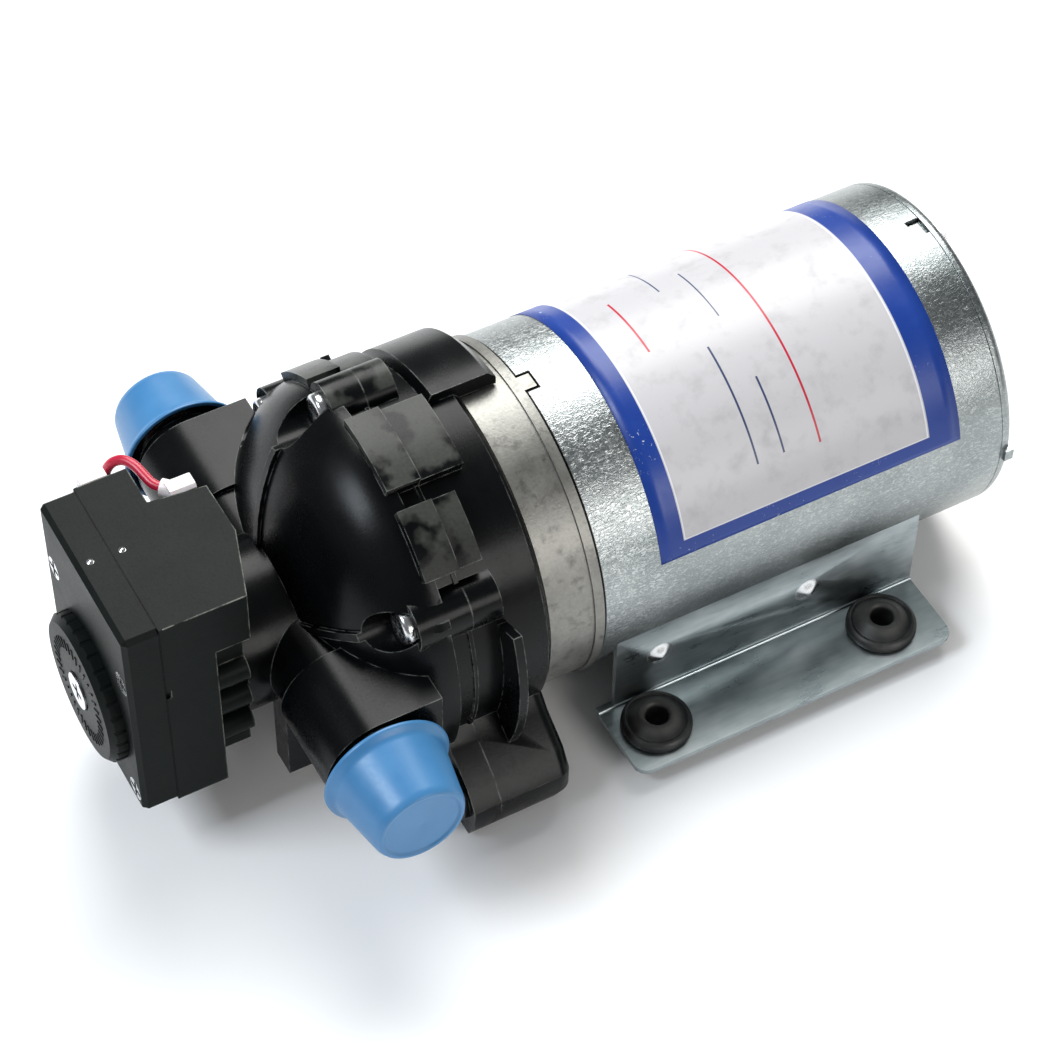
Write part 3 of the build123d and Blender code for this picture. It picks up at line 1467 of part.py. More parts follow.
def build():
    motor_bearing, wobble_bearing = bearing_pieces()
    brush = near_brush()
    brush_spring = near_brush_spring()
    cap = near_cap()
    bracket = near_bracket()
    return {
        "motor_can": motor_can(),
        "rear_end_plate": rear_end_plate(),
        "field_magnets": field_magnets(),
        "motor_shaft": motor_shaft(),
        "armature_core": armature_core(),
        "armature_windings": armature_windings(),
        "commutator": commutator(),
        "near_brush": brush,
        "far_brush": mirrored(brush),
        "near_brush_spring": brush_spring,
        "far_brush_spring": mirrored(brush_spring),
        "brush_holders": brush_holders(),
        "brush_card": brush_card(),
        "rear_bushing": rear_bushing(),
        "through_bolts": through_bolts(),
        "drive_end_bell": drive_end_bell(),
        "front_bearing_inner": motor_bearing[0],
        "front_bearing_outer": motor_bearing[1],
        "front_bearing_balls": group(motor_bearing[2]),
        "lead_grommet": lead_grommet(),
        "near_bracket": bracket,
        "far_bracket": mirrored(bracket),
        "mounting_grommets": mounting_grommets(),
        "rating_label": rating_label(),
        "rear_housing": rear_housing(),
        "cam": cam(),
        "cam_bearing_inner": wobble_bearing[0],
        "cam_bearing_outer": wobble_bearing[1],
        "cam_bearing_balls": group(wobble_bearing[2]),
        "wobble_plate": wobble_plate(),
        "diaphragm": diaphragm(),
        "piston_discs": piston_discs(),
        "piston_inserts": piston_inserts(),
        "piston_screws": piston_screws(),
        "valve_plate": valve_plate(),
        "inlet_valves": inlet_valves(),
        "outlet_valve": outlet_valve(),
        "outlet_seal": outlet_seal(),
        "front_housing": front_housing(),
        "housing_screws": housing_screws(),
        "check_valve_poppet": check_valve_poppet(),
        "check_valve_guide": check_valve_guide(),
        "check_valve_spring": check_valve_spring(),
        "near_port_cap": cap,
        "far_port_cap": mirrored(cap),
        "switch_body": switch_body(),
        "switch_cover": switch_cover(),
        "switch_screws": switch_screws(),
        "switch_diaphragm": switch_diaphragm(),
        "switch_plunger": switch_plunger(),
        "pressure_spring": pressure_spring(),
        "spring_seat": spring_seat(),
        "adjusting_screw": adjusting_screw(),
        "adjuster_cap": adjuster_cap(),
        "micro_switch": micro_switch(),
        "micro_button": micro_button(),
        "switch_terminals": switch_terminals(),
        "spade_connectors": spade_connectors(),
        "front_lead": lead("front_lead", front_lead_route),
        "rear_lead": lead("rear_lead", rear_lead_route),
    }


os.makedirs("parts", exist_ok=True)
row_frame = Location((frame_x, 0, axis_height))
for name, shape in build().items():
    export_step(shape.moved(row_frame), "parts/" + name + ".step")
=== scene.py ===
import bmesh
import bpy
import numpy as np
from mathutils import Matrix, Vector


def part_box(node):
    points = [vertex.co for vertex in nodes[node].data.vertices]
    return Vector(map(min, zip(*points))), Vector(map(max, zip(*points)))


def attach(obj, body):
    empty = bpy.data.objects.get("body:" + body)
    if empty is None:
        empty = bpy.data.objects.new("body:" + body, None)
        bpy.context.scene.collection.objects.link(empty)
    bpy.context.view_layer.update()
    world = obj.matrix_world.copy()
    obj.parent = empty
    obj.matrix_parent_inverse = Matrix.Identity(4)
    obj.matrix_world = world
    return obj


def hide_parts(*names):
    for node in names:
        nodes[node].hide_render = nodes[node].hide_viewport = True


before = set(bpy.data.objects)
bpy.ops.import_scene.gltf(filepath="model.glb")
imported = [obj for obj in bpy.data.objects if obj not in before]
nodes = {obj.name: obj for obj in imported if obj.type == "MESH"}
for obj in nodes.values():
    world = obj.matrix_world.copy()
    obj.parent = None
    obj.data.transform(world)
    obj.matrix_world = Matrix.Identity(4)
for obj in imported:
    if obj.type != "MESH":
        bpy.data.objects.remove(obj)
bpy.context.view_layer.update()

mm = 0.001
shaft = np.array([-0.85, 0.0, 46.0]) * mm


# Motor can. The real one is a tube of zinc plated steel sheet, 88 mm across, rolled and seam welded, with
# a notch at its front edge that takes the key of the bell. The plating shows fine, slightly wormy grain,
# and it has been handled, so that its sheen is uneven.
class Field:
    """One socket of a material's nodes: a value, colour or vector that may vary over the surface."""

    def __init__(self, tree, socket):
        self.tree = tree
        self.socket = socket

    def node(self, kind, settings, sockets, output=0):
        """Adds a node: its settings are set first, then a value or another field in each socket."""
        made = self.tree.nodes.new("ShaderNode" + kind)
        for name, value in settings.items():
            setattr(made, name, value)
        for name, value in sockets.items():
            if isinstance(value, Field):
                self.tree.links.new(value.socket, made.inputs[name])
            else:
                made.inputs[name].default_value = value
        return Field(self.tree, made.outputs[output])

    def maths(self, operation, *values):
        return self.node("Math", {"operation": operation}, dict(enumerate(values)))

    def __add__(self, other):
        return self.maths("ADD", self, other)

    __radd__ = __add__

    def __sub__(self, other):
        return self.maths("SUBTRACT", self, other)

    def __rsub__(self, other):
        return self.maths("SUBTRACT", other, self)

    def __mul__(self, other):
        return self.maths("MULTIPLY", self, other)

    __rmul__ = __mul__

    def __truediv__(self, other):
        return self.maths("DIVIDE", self, other)

    def __rtruediv__(self, other):
        return self.maths("DIVIDE", other, self)

    def __gt__(self, other):
        return self.maths("GREATER_THAN", self, other)

    def __lt__(self, other):
        return self.maths("LESS_THAN", self, other)

    def least(self, other):
        return self.maths("MINIMUM", self, other)

    def most(self, other):
        return self.maths("MAXIMUM", self, other)

    def size(self):
        return self.maths("ABSOLUTE", self)

    def fraction(self):
        return self.maths("FRACT", self)

    def rise(self, low, high, start=0.0, end=1.0):
        """Start below low, end above high, and an even, clamped climb between."""
        return self.node("MapRange", {}, {"Value": self, "From Min": low, "From Max": high,
                                          "To Min": start, "To Max": end})

    def axes(self):
        parts = self.node("SeparateXYZ", {}, {"Vector": self})
        made = parts.socket.node
        return [Field(self.tree, made.outputs[name]) for name in "XYZ"]

    def stretched(self, x, y, z):
        return self.node("Mapping", {}, {"Vector": self, "Scale": (x, y, z)})

    def noise(self, size, detail=3.0, rough=0.5, twist=0.0):
        """Cloudy noise from 0 to 1 whose largest features are about that size, in metres."""
        return self.node("TexNoise", {}, {"Vector": self, "Scale": 1.0 / size, "Detail": detail,
                                          "Roughness": rough, "Distortion": twist})

    def cells(self, size):
        """Soft rounded cells about that size, in metres."""
        return self.node("TexVoronoi", {"feature": "SMOOTH_F1"}, {"Vector": self, "Scale": 1.0 / size})

    def blend(self, low, high):
        """The colour low where this value is 0, and high where it is 1."""
        low, high = [colour if isinstance(colour, Field) else (*colour, 1.0) for colour in (low, high)]
        return self.node("Mix", {"data_type": "RGBA"}, {0: self, 6: low, 7: high}, 2)

    def relief(self, depth):
        """The shading of a surface whose height is this value times depth, in metres."""
        return self.node("Bump", {}, {"Height": self, "Distance": depth})

    def edges(self, reach):
        """1 along the edges of a shape and 0 away from them: one minus the cosine of the angle by which
        rounding them at this reach, in metres, would turn the face, scaled up."""
        rounded_face = self.node("Bevel", {"samples": 6}, {"Radius": reach})
        face = self.node("NewGeometry", {}, {}, "True Normal")
        alike = self.node("VectorMath", {"operation": "DOT_PRODUCT"}, {0: rounded_face, 1: face}, "Value")
        return (1.0 - alike).rise(0.01, 0.10)


def finish(name, varying, **even):
    """A material: even values sit on the shader, and varying(place) gives the fields of the others."""
    material = bpy.data.materials.new(name)
    material.use_nodes = True
    tree = material.node_tree
    shader = tree.nodes["Principled BSDF"]
    coordinates = tree.nodes.new("ShaderNodeTexCoord")
    place = Field(tree, coordinates.outputs["Object"])
    place.uv = Field(tree, coordinates.outputs["UV"])
    for socket, value in {**even, **varying(place)}.items():
        if isinstance(value, Field):
            tree.links.new(value.socket, shader.inputs[socket.replace("_", " ")])
        else:
            shader.inputs[socket.replace("_", " ")].default_value = value
    return material


def placed(name, data):
    """An object of the scene with this name and this mesh, curve, lamp or camera."""
    made = bpy.data.objects.new(name, data)
    bpy.context.scene.collection.objects.link(made)
    return made


crease = np.radians(30.0)
flat_within = np.radians(0.6)
loose_gap = 0.004 * mm
sliver = 0.001 * mm


def dressed(node, body, material, edge):
    """A copy of a CAD node with its loose triangles joined, smooth shading between sharp edges, and
    those edges rounded to a width in mm. It stands for the node."""
    copy = placed(node + "_surface", nodes[node].data.copy())
    shape = bmesh.new()
    shape.from_mesh(copy.data)
    bmesh.ops.remove_doubles(shape, verts=shape.verts, dist=loose_gap)
    bmesh.ops.dissolve_degenerate(shape, edges=shape.edges, dist=sliver)
    bmesh.ops.dissolve_limit(shape, angle_limit=flat_within, verts=shape.verts, edges=shape.edges)
    for face in shape.faces:
        face.smooth = True
    for line in shape.edges:
        line.smooth = line.calc_face_angle(np.pi) < crease
    shape.to_mesh(copy.data)
    shape.free()
    if "custom_normal" in copy.data.attributes:
        copy.data.attributes.remove(copy.data.attributes["custom_normal"])
    copy.data.materials.clear()
    copy.data.materials.append(material)
    bevel = copy.modifiers.new("worn edges", "BEVEL")
    bevel.width = edge * mm
    bevel.segments = 2
    bevel.limit_method = "ANGLE"
    bevel.angle_limit = crease
    bevel.use_clamp_overlap = True
    bevel.harden_normals = True
    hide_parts(node)
    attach(copy, body)


key_depth = 4.0 * mm
key_half_width = 2.75 * mm
notch_line = 0.5 * mm
joint_line = 1.0 * mm
gap_shade_fade = 0.2 * mm
coarse_until = 14 * mm
fine_from = 24 * mm


def plated(place):
    """Wormy grain of zinc plating, drawn out along the can, over slow changes of sheen. It is coarsest
    near the front edge. A near black line of painted shade runs along that edge, in the gap to the bell,
    and round the notch of the key."""
    x, y, z = place.axes()
    along = x - shaft[0]
    worms = (place.stretched(0.55, 1.0, 1.0).noise(0.0009, 2.0, 0.5, 1.2) - 0.5).size().rise(0.0, 0.22)
    worms = worms * along.rise(coarse_until, fine_from, 1.0, 0.6)
    clouds = place.noise(0.018, 3.0)
    tone = (worms * 0.55 + clouds * 0.45).rise(0.15, 0.8)
    past_notch = (along - key_depth).most(y.size() - key_half_width)
    in_notch = (notch_line - past_notch) * (z > shaft[2])
    # painted shade: near black in the gap where the can meets the bell, and round the notch of the key
    gap_shade = (joint_line - along).most(in_notch).rise(0.0, gap_shade_fade)
    metal = tone.blend((0.19, 0.215, 0.22), (0.53, 0.555, 0.55))
    return {"Base_Color": gap_shade.blend(metal, (0.008, 0.008, 0.008)),
            "Roughness": (clouds * 0.5 + worms * 0.3).rise(0.1, 0.7, 0.29, 0.43),
            "Normal": worms.relief(0.045 * mm)}


zinc_can = finish("zinc_can", plated, Metallic=1.0)
dressed("motor_can", "root", zinc_can, edge=0.25)


# Rear end plate and through bolts. A pressed plate of the same zinc plated steel closes the can and holds
# the rear bushing in its hub, and two long bolts pull it and the bell on to the can.
dressed("rear_end_plate", "root", zinc_can, edge=0.3)


def bright(place):
    clouds = place.noise(0.004, 3.0)
    return {"Base_Color": clouds.blend((0.55, 0.56, 0.57), (0.74, 0.75, 0.76)),
            "Roughness": clouds.rise(0.2, 0.8, 0.16, 0.32),
            "Normal": place.noise(0.0005, 2.0).relief(0.006 * mm)}


screw_zinc = finish("screw_zinc", bright, Metallic=1.0)
dressed("through_bolts", "root", screw_zinc, edge=0.2)


# Inside the motor. Two sintered magnets stand in the can, and the armature of stacked sheets, enamelled
# copper and a copper commutator turns between them on a ground shaft, in a ball bearing and a bushing.
sheet_pitch = 0.6 * mm


def coated(material, *names):
    """Gives CAD nodes their material in every slot."""
    for name in names:
        slots = nodes[name].data.materials
        slots.clear()
        slots.append(material)


def ground(place):
    lines = place.stretched(6.0, 1.0, 1.0).noise(0.0006, 2.0)
    return {"Base_Color": lines.blend((0.50, 0.50, 0.51), (0.68, 0.68, 0.69)),
            "Roughness": lines.rise(0.2, 0.8, 0.15, 0.3)}


def sintered(place):
    grains = place.noise(0.0007, 4.0)
    return {"Base_Color": grains.blend((0.06, 0.06, 0.065), (0.13, 0.13, 0.14)),
            "Roughness": grains.rise(0.2, 0.8, 0.5, 0.75), "Normal": grains.relief(0.03 * mm)}


def stacked(place):
    sheets = (place.axes()[0] / sheet_pitch).fraction()
    return {"Base_Color": sheets.blend((0.18, 0.19, 0.20), (0.38, 0.39, 0.41)),
            "Roughness": place.noise(0.002).rise(0.2, 0.8, 0.3, 0.5),
            "Normal": sheets.relief(0.05 * mm)}


def enamelled(place):
    turns = place.stretched(0.3, 1.0, 1.0).noise(0.001, 2.0, 0.5, 0.6)
    return {"Base_Color": turns.blend((0.36, 0.13, 0.05), (0.72, 0.34, 0.16)),
            "Roughness": turns.rise(0.2, 0.8, 0.2, 0.4), "Normal": turns.relief(0.1 * mm)}


def yellow_brass(place):
    clouds = place.noise(0.003, 3.0)
    return {"Base_Color": clouds.blend((0.62, 0.46, 0.20), (0.80, 0.64, 0.34)),
            "Roughness": clouds.rise(0.2, 0.8, 0.2, 0.4)}


def pressed_graphite(place):
    grains = place.noise(0.0005, 4.0)
    return {"Base_Color": grains.blend((0.03, 0.03, 0.033), (0.09, 0.09, 0.095)),
            "Roughness": grains.rise(0.2, 0.8, 0.35, 0.6), "Normal": grains.relief(0.01 * mm)}


def paper_board(place):
    fibres = place.stretched(1.0, 0.2, 1.0).noise(0.0006, 4.0)
    return {"Base_Color": fibres.blend((0.22, 0.11, 0.05), (0.36, 0.21, 0.11)),
            "Roughness": fibres.rise(0.2, 0.8, 0.5, 0.7), "Normal": fibres.relief(0.02 * mm)}


def drawn_wire(place):
    grey = place.noise(0.002, 3.0)
    return {"Base_Color": grey.blend((0.40, 0.40, 0.42), (0.58, 0.58, 0.60)),
            "Roughness": grey.rise(0.2, 0.8, 0.2, 0.35)}


steel = finish("steel", ground, Metallic=1.0)
magnet = finish("magnet", sintered)
core_steel = finish("core_steel", stacked, Metallic=1.0)
copper = finish("copper", enamelled, Metallic=0.8)
brass = finish("brass", yellow_brass, Metallic=1.0)
graphite = finish("graphite", pressed_graphite)
card_brown = finish("card_brown", paper_board)
spring_steel = finish("spring_steel", drawn_wire, Metallic=1.0)
coated(steel, "motor_shaft", "front_bearing_inner", "front_bearing_outer", "front_bearing_balls", "cam",
       "cam_bearing_inner", "cam_bearing_outer", "cam_bearing_balls")
coated(magnet, "field_magnets")
coated(core_steel, "armature_core")
coated(copper, "armature_windings", "commutator")
coated(brass, "brush_holders", "rear_bushing")
coated(graphite, "near_brush", "far_brush")
coated(card_brown, "brush_card")
coated(spring_steel, "near_brush_spring", "far_brush_spring")


# Drive end bell. It is cast in aluminium, turned on its rim where it meets the can, and left as cast
# elsewhere, so that its skin is creamy grey, finely pitted and dull.
def as_cast(place):
    grain = place.noise(0.0009, 4.0, 0.6)
    blotches = place.noise(0.009, 3.0)
    stains = place.noise(0.004, 5.0, 0.65).rise(0.52, 0.72)
    tone = (grain * 0.35 + blotches * 0.65).rise(0.3, 0.7)
    clean = tone.blend((0.17, 0.168, 0.158), (0.29, 0.287, 0.265))
    return {"Base_Color": stains.blend(clean, (0.115, 0.112, 0.105)),
            "Roughness": blotches.rise(0.2, 0.8, 0.36, 0.52),
            "Normal": grain.relief(0.05 * mm)}


cast_bell = finish("cast_bell", as_cast, Metallic=0.85)
dressed("drive_end_bell", "root", cast_bell, edge=0.25)


# Side brackets. Each is a strip of steel sheet pressed to an angle, welded to the can at two dimples and
# plated with bright zinc. Its flange has the holes of two grommets.
def bright_zinc(place):
    streaks = place.stretched(0.15, 1.0, 1.0).noise(0.0012, 3.0)
    clouds = place.noise(0.011, 3.0)
    tone = (streaks * 0.35 + clouds * 0.65).rise(0.3, 0.7)
    return {"Base_Color": tone.blend((0.27, 0.315, 0.33), (0.47, 0.51, 0.52)),
            "Roughness": tone.rise(0.0, 1.0, 0.24, 0.38),
            "Normal": streaks.relief(0.005 * mm)}


zinc_bracket = finish("zinc_bracket", bright_zinc, Metallic=1.0)
for side in ("near", "far"):
    dressed(side + "_bracket", "root", zinc_bracket, edge=0.2)


sunk = 0.02 * mm
dimple_side = 41.8 * mm
dimple_drop = 25.4 * mm
dimple_places = (18.5 * mm, 62.1 * mm)
dimple_radius = 3.9 * mm
dimple_height = 1.5 * mm
dome_rings = 12
dome_spokes = 33


def surface(name, points, faces, material, smooth=True):
    """A piece with this name, these points and these four cornered faces."""
    mesh = bpy.data.meshes.new(name)
    mesh.from_pydata(points.reshape(-1, 3).tolist(), [], faces.reshape(-1, 4).tolist())
    mesh.polygons.foreach_set("use_smooth", np.full(len(mesh.polygons), smooth))
    mesh.materials.append(material)
    return placed(name, mesh)


def open_grid(name, points, material):
    """A piece whose faces join the points of an open grid."""
    rows, columns = points.shape[:2]
    index = np.arange(rows * columns).reshape(rows, columns)
    faces = np.stack([index[:-1, :-1], index[1:, :-1], index[1:, 1:], index[:-1, 1:]], axis=-1)
    return surface(name, points, faces, material)


def joined(pieces, name):
    """Makes several pieces one, under this name."""
    bpy.ops.object.select_all(action="DESELECT")
    for piece in pieces:
        piece.select_set(True)
    bpy.context.view_layer.objects.active = pieces[0]
    bpy.ops.object.join()
    pieces[0].name = name
    return pieces[0]


def closed_up(piece):
    """Joins the doubled points of a piece's seams and poles, and turns its faces outwards."""
    shape = bmesh.new()
    shape.from_mesh(piece.data)
    bmesh.ops.remove_doubles(shape, verts=shape.verts, dist=2 * loose_gap)
    bmesh.ops.recalc_face_normals(shape, faces=shape.faces)
    shape.to_mesh(piece.data)
    shape.free()
    return piece


def domes(name, centres, outward, radius, height, material):
    """Low round bumps joined in one mesh. A ring at share r of the radius stands out from the face by
    the height times the square of (1 - r squared), so that each bump leaves the face without a crease.
    Each bump is sunk a little, so that its rim lies under the face."""
    outward = np.array(outward)
    across = np.cross(outward, (1.0, 0.0, 0.0))
    up = np.cross(outward, across)
    share, angle = np.meshgrid(np.linspace(0.001, 1.0, dome_rings),
                               np.linspace(0.0, 2 * np.pi, dome_spokes), indexing="ij")
    share, angle = share[..., None], angle[..., None]
    rise = height * (1.0 - share ** 2) ** 2 - sunk
    bump = radius * share * (np.cos(angle) * across + np.sin(angle) * up) + rise * outward
    return closed_up(joined([open_grid(name, centre + bump, material) for centre in centres], name))


for side, across in (("near", -1.0), ("far", 1.0)):
    places = [shaft + np.array([along, across * dimple_side, -dimple_drop]) for along in dimple_places]
    dimples = domes(side + "_weld_dimples", places, (0.0, across, 0.0), dimple_radius, dimple_height,
                    screw_zinc)
    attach(dimples, "root")


# Grommets. The pump stands on four rubber grommets, moulded in one piece and pushed through the holes of
# the brackets' flanges. A groove holds the flange, and the top is a sloped ring round the bolt's hole.
grommet_along = (12.4 * mm, 79.6 * mm)
grommet_across = 51.7 * mm
grommet_radius = 9.2 * mm
groove_radius = 6.4 * mm
grommet_bore = 3.1 * mm
flange_low = 4.75 * mm
flange_high = 6.35 * mm
side_top = flange_high + 2.2 * mm
lip_radius = 7.9 * mm
lip_top = flange_high + 3.0 * mm
gutter_radius = 7.5 * mm
gutter = flange_high + 2.4 * mm
crown_radius = 4.5 * mm
crown = 10.95 * mm
mouth_radius = 3.7 * mm
mouth_start = crown - 0.7 * mm
grommet_turns = 64
curve_steps = 5
crown_paler_from = 9.3 * mm
crown_paler_to = 10.2 * mm


def turned(name, profile, centre, axes, turns, material):
    """A closed ring. At each angle, a point (radius, height) of the profile lies off the centre by the
    radius times (cosine of the first axis + sine of the second) and the height times the third."""
    first, second, third = np.array(axes)
    angle = np.linspace(0.0, 2.0 * np.pi, turns, endpoint=False)[:, None, None]
    radius, height = np.array(profile).T[:, None, :, None]
    points = centre + radius * (np.cos(angle) * first + np.sin(angle) * second) + height * third
    index = np.arange(turns * len(profile)).reshape(turns, len(profile))
    on = np.roll(index, -1, axis=0)
    faces = np.stack([index, on, np.roll(on, -1, axis=1), np.roll(index, -1, axis=1)], axis=-1)
    return surface(name, points, faces, material)


def rounded(corners):
    """A closed outline whose corners (across, up, round) are cut back by round and joined by a curve:
    the point at share t of a corner is its start, the corner and its end weighed (1-t)^2, 2t(1-t), t^2."""
    outline = []
    count = len(corners)
    share = np.linspace(0.0, 1.0, curve_steps)[:, None]
    for number, (across, up, cut) in enumerate(corners):
        corner = np.array([across, up])
        before = np.array(corners[number - 1][:2]) - corner
        after = np.array(corners[(number + 1) % count][:2]) - corner
        start = corner + before / np.linalg.norm(before) * cut
        end = corner + after / np.linalg.norm(after) * cut
        curve = (1 - share) ** 2 * start + 2 * share * (1 - share) * corner + share ** 2 * end
        outline.extend(curve.tolist())
    return outline


def moulded_rubber(place):
    grain = place.noise(0.0006, 3.0)
    height = place.axes()[2]
    # dust in patches, and painted sheen: the sloped crown round the hole is painted paler than the sides,
    # as dust and as the light it catches
    dust_and_sheen = place.noise(0.006, 4.0).rise(0.45, 0.75) * 0.4 + height.rise(crown_paler_from, crown_paler_to, 0.0, 0.5)
    return {"Base_Color": dust_and_sheen.blend((0.008, 0.0085, 0.009), (0.070, 0.070, 0.062)),
            "Roughness": (dust_and_sheen * 0.5 + grain * 0.5).rise(0.2, 0.8, 0.42, 0.62),
            "Normal": grain.relief(0.02 * mm)}


black_rubber = finish("black_rubber", moulded_rubber)
grommet_corners = [
    (grommet_bore, 0.0, 0.3 * mm), (grommet_radius, 0.0, 1.1 * mm), (grommet_radius, flange_low, 0.4 * mm),
    (groove_radius, flange_low, 0.1 * mm), (groove_radius, flange_high, 0.1 * mm),
    (grommet_radius, flange_high, 0.5 * mm), (grommet_radius, side_top, 1.0 * mm),
    (lip_radius, lip_top, 0.4 * mm), (gutter_radius, gutter, 0.2 * mm),
    (crown_radius, crown, 0.4 * mm), (mouth_radius, crown, 0.3 * mm), (grommet_bore, mouth_start, 0.3 * mm)]
grommets = []
for along in grommet_along:
    for across in (-grommet_across, grommet_across):
        centre = (shaft[0] + along, across, 0.0)
        grommets.append(turned("grommet_" + str(len(grommets) + 1), rounded(grommet_corners), centre,
                               np.eye(3), grommet_turns, black_rubber))
grommets = joined(grommets, "rubber_grommets")
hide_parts("mounting_grommets")
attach(grommets, "root")


# Label. A printed foil goes round the top of the can: an off white field in a blue border with a thin
# white line, and a few thin rules round the can. Nothing is written on it. It is scuffed and smudged.
label_start = 16.7 * mm
label_end = 103.4 * mm
label_low = np.radians(15.3)
label_high = np.radians(196.0)
label_radius = 44.15 * mm
label_across = (label_high - label_low) * label_radius
label_rows = 25
label_columns = 121
foil_thickness = 0.14 * mm
border_front = 6.8 * mm
border_rear = 9.0 * mm
border_side = 4.3 * mm
rule_red = (0.45, 0.015, 0.04)
rule_dark = (0.035, 0.05, 0.12)
# Each rule: mm along the can, from and to which angle in degrees round it, half its width in mm, colour
label_rules = ((64.6, 34.6, 150.0, 0.30, rule_red), (54.2, 86.0, 112.0, 0.20, rule_dark),
               (54.5, 36.0, 62.0, 0.28, rule_dark), (47.0, 35.7, 77.0, 0.28, rule_dark),
               (46.2, 106.0, 128.0, 0.20, rule_dark), (33.2, 83.0, 110.0, 0.30, rule_red))


def printed(place):
    """The share edge rises from 0 at the foil's edge to 1 where the blue border ends, and the white line
    lies at 1.05. Scuffs break the blue, and smudges darken the field."""
    u, v = place.uv.axes()[:2]
    ends = ((u - label_start) / border_front).least((label_end - u) / border_rear)
    edge = ends.least(v.least(label_across - v) / border_side)
    blue = edge.rise(0.985, 1.0, 1.0, 0.0)
    keyline = (edge - 1.05).size().rise(0.015, 0.03, 1.0, 0.0)
    smudge = place.noise(0.006, 5.0, 0.6).rise(0.50, 0.85)
    field = smudge.blend((0.50, 0.49, 0.505), (0.37, 0.36, 0.37))
    for along, low, high, half, colour in label_rules:
        start = (np.radians(low) - label_low) * label_radius
        stop = (np.radians(high) - label_low) * label_radius
        line = (u - along * mm).size().rise(half * mm * 0.8, half * mm * 1.2, 1.0, 0.0)
        line = line * (v > start) * (v < stop)
        field = line.blend(field, colour)
    scuffs = place.noise(0.0011, 3.0, 0.6, 1.0).rise(0.66, 0.70) * place.noise(0.02, 2.0).rise(0.50, 0.62)
    ink = place.noise(0.012, 3.0).blend((0.006, 0.030, 0.20), (0.012, 0.050, 0.28))
    colour = blue.blend(field, scuffs.blend(ink, (0.45, 0.50, 0.60)))
    colour = keyline.blend(colour, (0.70, 0.71, 0.76))
    return {"Base_Color": colour, "Roughness": smudge.rise(0.0, 1.0, 0.32, 0.48),
            "Normal": place.noise(0.0016, 3.0).relief(0.015 * mm)}


def label_sheet(material):
    """A thin sheet on the can. At a distance along the shaft and an angle that starts at the near side
    and rises over the top, y is minus the radius times the cosine, and z the radius times the sine. Its
    own map is in metres: u along the can and v round it."""
    along, around = np.meshgrid(np.linspace(label_start, label_end, label_rows),
                                np.linspace(label_low, label_high, label_columns), indexing="ij")
    points = np.stack([shaft[0] + along, -label_radius * np.cos(around),
                       shaft[2] + label_radius * np.sin(around)], axis=-1)
    made = open_grid("rating_label_print", points, material)
    flat = np.stack([along.ravel(), (around.ravel() - label_low) * label_radius], axis=-1)
    corner = np.zeros(len(made.data.loops), np.int32)
    made.data.loops.foreach_get("vertex_index", corner)
    made.data.uv_layers.new(name="print").data.foreach_set("uv", flat[corner].ravel())
    foil = made.modifiers.new("foil", "SOLIDIFY")
    foil.thickness = foil_thickness
    foil.offset = -1.0
    return made


label = label_sheet(finish("label_foil", printed, Specular_IOR_Level=0.35))
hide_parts("rating_label")
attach(label, "root")


# Rear pump housing. It is moulded in glass filled nylon, black and half glossy, with flat pads for the
# screws, a lug over the bell and two lower corner lobes. The bell's spigot locates it.
pad_radius = 50.0 * mm
pad_edge = 0.5 * mm
sheen_from = 28 * mm
sheen_above = 42 * mm


def moulded_nylon(place):
    grain = place.noise(0.0008, 3.0)
    flow = place.stretched(1.0, 0.5, 0.5).noise(0.012, 4.0, 0.55, 0.4)
    y, z = place.axes()[1:]
    up = z - shaft[2]
    past_pads = (y * y + up * up).rise((pad_radius - pad_edge) ** 2, pad_radius ** 2)
    # painted sheen: grey patches on the pads and what stands past them, high on the housing, for the light
    # the upward faces catch
    top_sheen = place.noise(0.011, 3.0, 0.5).rise(0.44, 0.53) * past_pads * up.rise(sheen_from, sheen_above)
    clean = flow.blend((0.0010, 0.0013, 0.0015), (0.0030, 0.0036, 0.0040))
    sheen_grey = grain.blend((0.030, 0.032, 0.028), (0.056, 0.058, 0.052))
    # painted highlight, broken in patches like wear: the rounded edges are painted paler where they would
    # catch the light
    edge_wear_and_highlight = place.edges(0.5 * mm) * place.noise(0.004, 4.0, 0.6).rise(0.40, 0.62)
    return {"Base_Color": edge_wear_and_highlight.blend(top_sheen.blend(clean, sheen_grey), (0.15, 0.16, 0.15)),
            "Roughness": (flow * 0.7 + grain * 0.3 + top_sheen * 0.2).rise(0.3, 0.8, 0.20, 0.36),
            "Normal": (grain * 0.4 + flow).relief(0.03 * mm)}


black_nylon = finish("black_nylon", moulded_nylon, Specular_IOR_Level=0.14)
dressed("rear_housing", "root", black_nylon, edge=0.35)


# Inside the pump head. A tilted journal nutates a nylon plate that works three pistons of a moulded
# rubber diaphragm, and a plate of rubber valves passes the water from the inlet ring to the outlet.
def natural_nylon(place):
    clouds = place.noise(0.005, 3.0)
    return {"Base_Color": clouds.blend((0.58, 0.55, 0.46), (0.74, 0.72, 0.64)),
            "Roughness": clouds.rise(0.2, 0.8, 0.3, 0.45)}


def black_sheet(place):
    grain = place.noise(0.0007, 3.0)
    return {"Base_Color": grain.blend((0.03, 0.03, 0.034), (0.07, 0.07, 0.075)),
            "Roughness": grain.rise(0.2, 0.8, 0.5, 0.7)}


def brown_rubber(place):
    grain = place.noise(0.0009, 3.0)
    return {"Base_Color": grain.blend((0.10, 0.06, 0.04), (0.18, 0.12, 0.08)),
            "Roughness": grain.rise(0.2, 0.8, 0.45, 0.65)}


